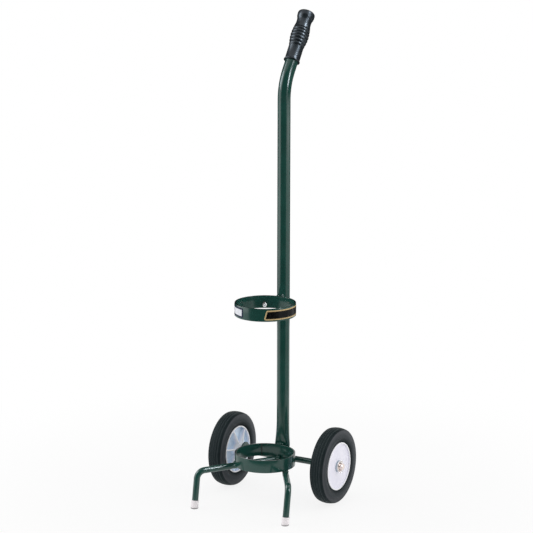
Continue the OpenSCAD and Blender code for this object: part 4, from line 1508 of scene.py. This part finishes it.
class TROLLEY_OT_stage(bpy.types.Operator):
    """Set up the floor, the studio light and the camera"""

    bl_idname = "trolley.stage"
    bl_label = "Stage"

    def execute(self, context):
        s = context.scene.trolley_stage
        context.scene.view_settings.view_transform = "Standard"
        self.floor(s)
        self.sky(context, s)
        for name, power, place, aim, width, height in (
            ("right_softbox", s.key, self.around(s, 91, 2.0, 1.3), 1.3, 3.0, 2.6),
            ("left_softbox", s.fill, self.around(s, -97, 2.0, 1.6), 1.6, 2.8, 3.2),
            ("right_strip", s.right_streak, self.around(s, 55, 2.0, 1.6), 0.9, 0.42, 0.9),
            ("left_strip", s.left_streak, self.around(s, -100, 1.9, 1.7), 0.9, 1.4, 1.1),
            ("top_strip", s.top_streak, Vector((0.9, 0.4, 1.85)), 0.1, 0.5, 0.25),
        ):
            lamp = self.lamp(name, power, place, aim, width, height)
            if name.endswith("strip"):
                lamp.visible_diffuse = False
                lamp.data.color = s.streak_tint
        for name, swings, reach, low, high, share in (
            ("front_flag", (-66, 52), 0.815, 0.02, 1.6, 1.0),
            ("back_flag", (112, 248), 0.6, 0.3, 1.6, 1.0),
            ("upper_flag", (54, 122), 0.75, 0.72, 1.32, 1.0),
            ("side_flag", (54, 122), 0.75, 0.04, 0.6, 0.5),
        ):
            self.flag(name, [self.around(s, swing, reach, 0) for swing in swings], low, high, share)
        self.camera(context, s)
        return {"FINISHED"}

    def floor(self, s):
        piece = begin("floor", bpy.ops.mesh.primitive_circle_add, vertices=96, radius=s.floor_r, fill_type="NGON")
        rest_hands()
        material, shader = new_material("floor_paper")
        away = shader.vector("LENGTH", shader.place())
        plain = shader.ease(away, s.shadow_r * 0.4, s.shadow_r, s.glow, 1.0)
        white = shader.node("ShaderNodeEmission", inputs={"Color": WHITE, "Strength": 1.0})
        paper = shader.node("ShaderNodeBsdfDiffuse", inputs={"Color": PAPER})
        shader.blend(plain * self.seen(shader), paper, white)
        piece.data.materials.append(material)

    def seen(self, shader):
        """1 for rays on which the white surroundings show as they are."""
        kinds = ("Camera", "Glossy", "Transmission")
        camera, glossy, through = (shader.node("ShaderNodeLightPath", output=f"Is {kind} Ray") for kind in kinds)
        return camera.larger(glossy).larger(through)

    def sky(self, context, s):
        world = bpy.data.worlds.new("studio")
        context.scene.world = world
        world.use_nodes = True
        shader = Shader(world.node_tree)
        soft = shader.node("ShaderNodeBackground", inputs={"Color": WHITE, "Strength": s.ambient})
        white = shader.node("ShaderNodeBackground", inputs={"Color": WHITE, "Strength": 1.0})
        shader.blend(self.seen(shader), soft, white, "ShaderNodeOutputWorld")

    def around(self, s, swing, distance, height):
        """A place round the trolley, by its angle in degrees from the camera's direction."""
        a = s.azimuth + math.radians(swing)
        return Vector((math.sin(a) * distance, -math.cos(a) * distance, height))

    def lamp(self, name, power, place, aim, width, height):
        """A lamp that shines at a height on the trolley's middle line."""
        rest_hands()
        turned = (Z * aim - place).to_track_quat("-Z", "Y").to_euler()
        bpy.ops.object.light_add(type="AREA", location=place, rotation=turned)
        lamp = bpy.context.active_object
        lamp.name = name
        lamp.data.energy = power
        lamp.data.shape = "RECTANGLE"
        lamp.data.size = width
        lamp.data.size_y = height
        lamp.visible_camera = False
        return lamp

    def flag(self, name, ends, low, high, share):
        """A screen with soft ends that only gloss sees, which darkens paint towards it by a share."""
        first, last = ends
        piece = draw_line(name, ring([first + Z * low, last + Z * low, last + Z * high, first + Z * high]))
        bpy.ops.mesh.edge_face_add()
        rest_hands()
        material, shader = new_material("flag_cloth")
        span = last - first
        along = shader.along(shader.place(), span)
        start, stop = first.dot(span), last.dot(span)
        fade = (stop - start) * 0.2
        cover = shader.ease(along, start, start + fade, 0, share) * shader.ease(along, stop, stop - fade)
        cloth = shader.node("ShaderNodeBsdfDiffuse", inputs={"Color": CLOTH})
        shader.blend(cover, shader.node("ShaderNodeBsdfTransparent"), cloth)
        piece.data.materials.append(material)
        for rays in ("camera", "diffuse", "transmission", "shadow"):
            setattr(piece, "visible_" + rays, False)

    def camera(self, context, s):
        rest_hands()
        a, e = s.azimuth, s.elevation
        back = Vector((math.sin(a) * math.cos(e), -math.cos(a) * math.cos(e), math.sin(e)))
        right = level(a)
        turned = Matrix((right, back.cross(right), back)).transposed() @ Matrix.Rotation(s.roll, 3, "Z")
        target = Vector((s.target_x, HOOP_Y + s.target_y, s.target_z))
        bpy.ops.object.camera_add(location=target + back * s.distance, rotation=turned.to_euler())
        camera = bpy.context.active_object
        camera.data.sensor_width = 36
        camera.data.lens = s.lens
        context.scene.camera = camera


OPERATORS = (
    TROLLEY_OT_stage,
    TROLLEY_OT_mast,
    TROLLEY_OT_grip,
    TROLLEY_OT_hoops,
    TROLLEY_OT_labels,
    TROLLEY_OT_clamp,
    TROLLEY_OT_legs,
    TROLLEY_OT_caps,
    TROLLEY_OT_axle,
    TROLLEY_OT_tyres,
    TROLLEY_OT_hubs,
    TROLLEY_OT_washers,
    TROLLEY_OT_pins,
    TROLLEY_OT_welds,
)


class TROLLEY_PT_panel(bpy.types.Panel):
    """Lists the trolley's pieces and sizes"""

    bl_idname = "TROLLEY_PT_panel"
    bl_label = "Cylinder Trolley"
    bl_space_type = "VIEW_3D"
    bl_region_type = "UI"
    bl_category = "Trolley"

    def draw(self, context):
        for operator in OPERATORS:
            self.layout.operator(operator.bl_idname)
        for key, group in SETTINGS.items():
            box = self.layout.box()
            box.label(text=group.__doc__)
            for name in group.__annotations__:
                box.prop(getattr(context.scene, key), name)


def register():
    for key, group in SETTINGS.items():
        bpy.utils.register_class(group)
        setattr(bpy.types.Scene, key, PointerProperty(type=group))
    for operator in OPERATORS:
        bpy.utils.register_class(operator)
    bpy.utils.register_class(TROLLEY_PT_panel)


def unregister():
    bpy.utils.unregister_class(TROLLEY_PT_panel)
    for operator in reversed(OPERATORS):
        bpy.utils.unregister_class(operator)
    for key, group in SETTINGS.items():
        delattr(bpy.types.Scene, key)
        bpy.utils.unregister_class(group)


def main():
    register()
    bpy.ops.trolley.stage()
    bpy.ops.trolley.mast()
    bpy.ops.trolley.grip()
    bpy.ops.trolley.hoops()
    bpy.ops.trolley.labels()
    bpy.ops.trolley.clamp()
    bpy.ops.trolley.legs()
    bpy.ops.trolley.caps()
    bpy.ops.trolley.axle()
    bpy.ops.trolley.tyres()
    bpy.ops.trolley.hubs()
    bpy.ops.trolley.washers()
    bpy.ops.trolley.pins()
    bpy.ops.trolley.welds()


if __name__ == "__main__":
    main()
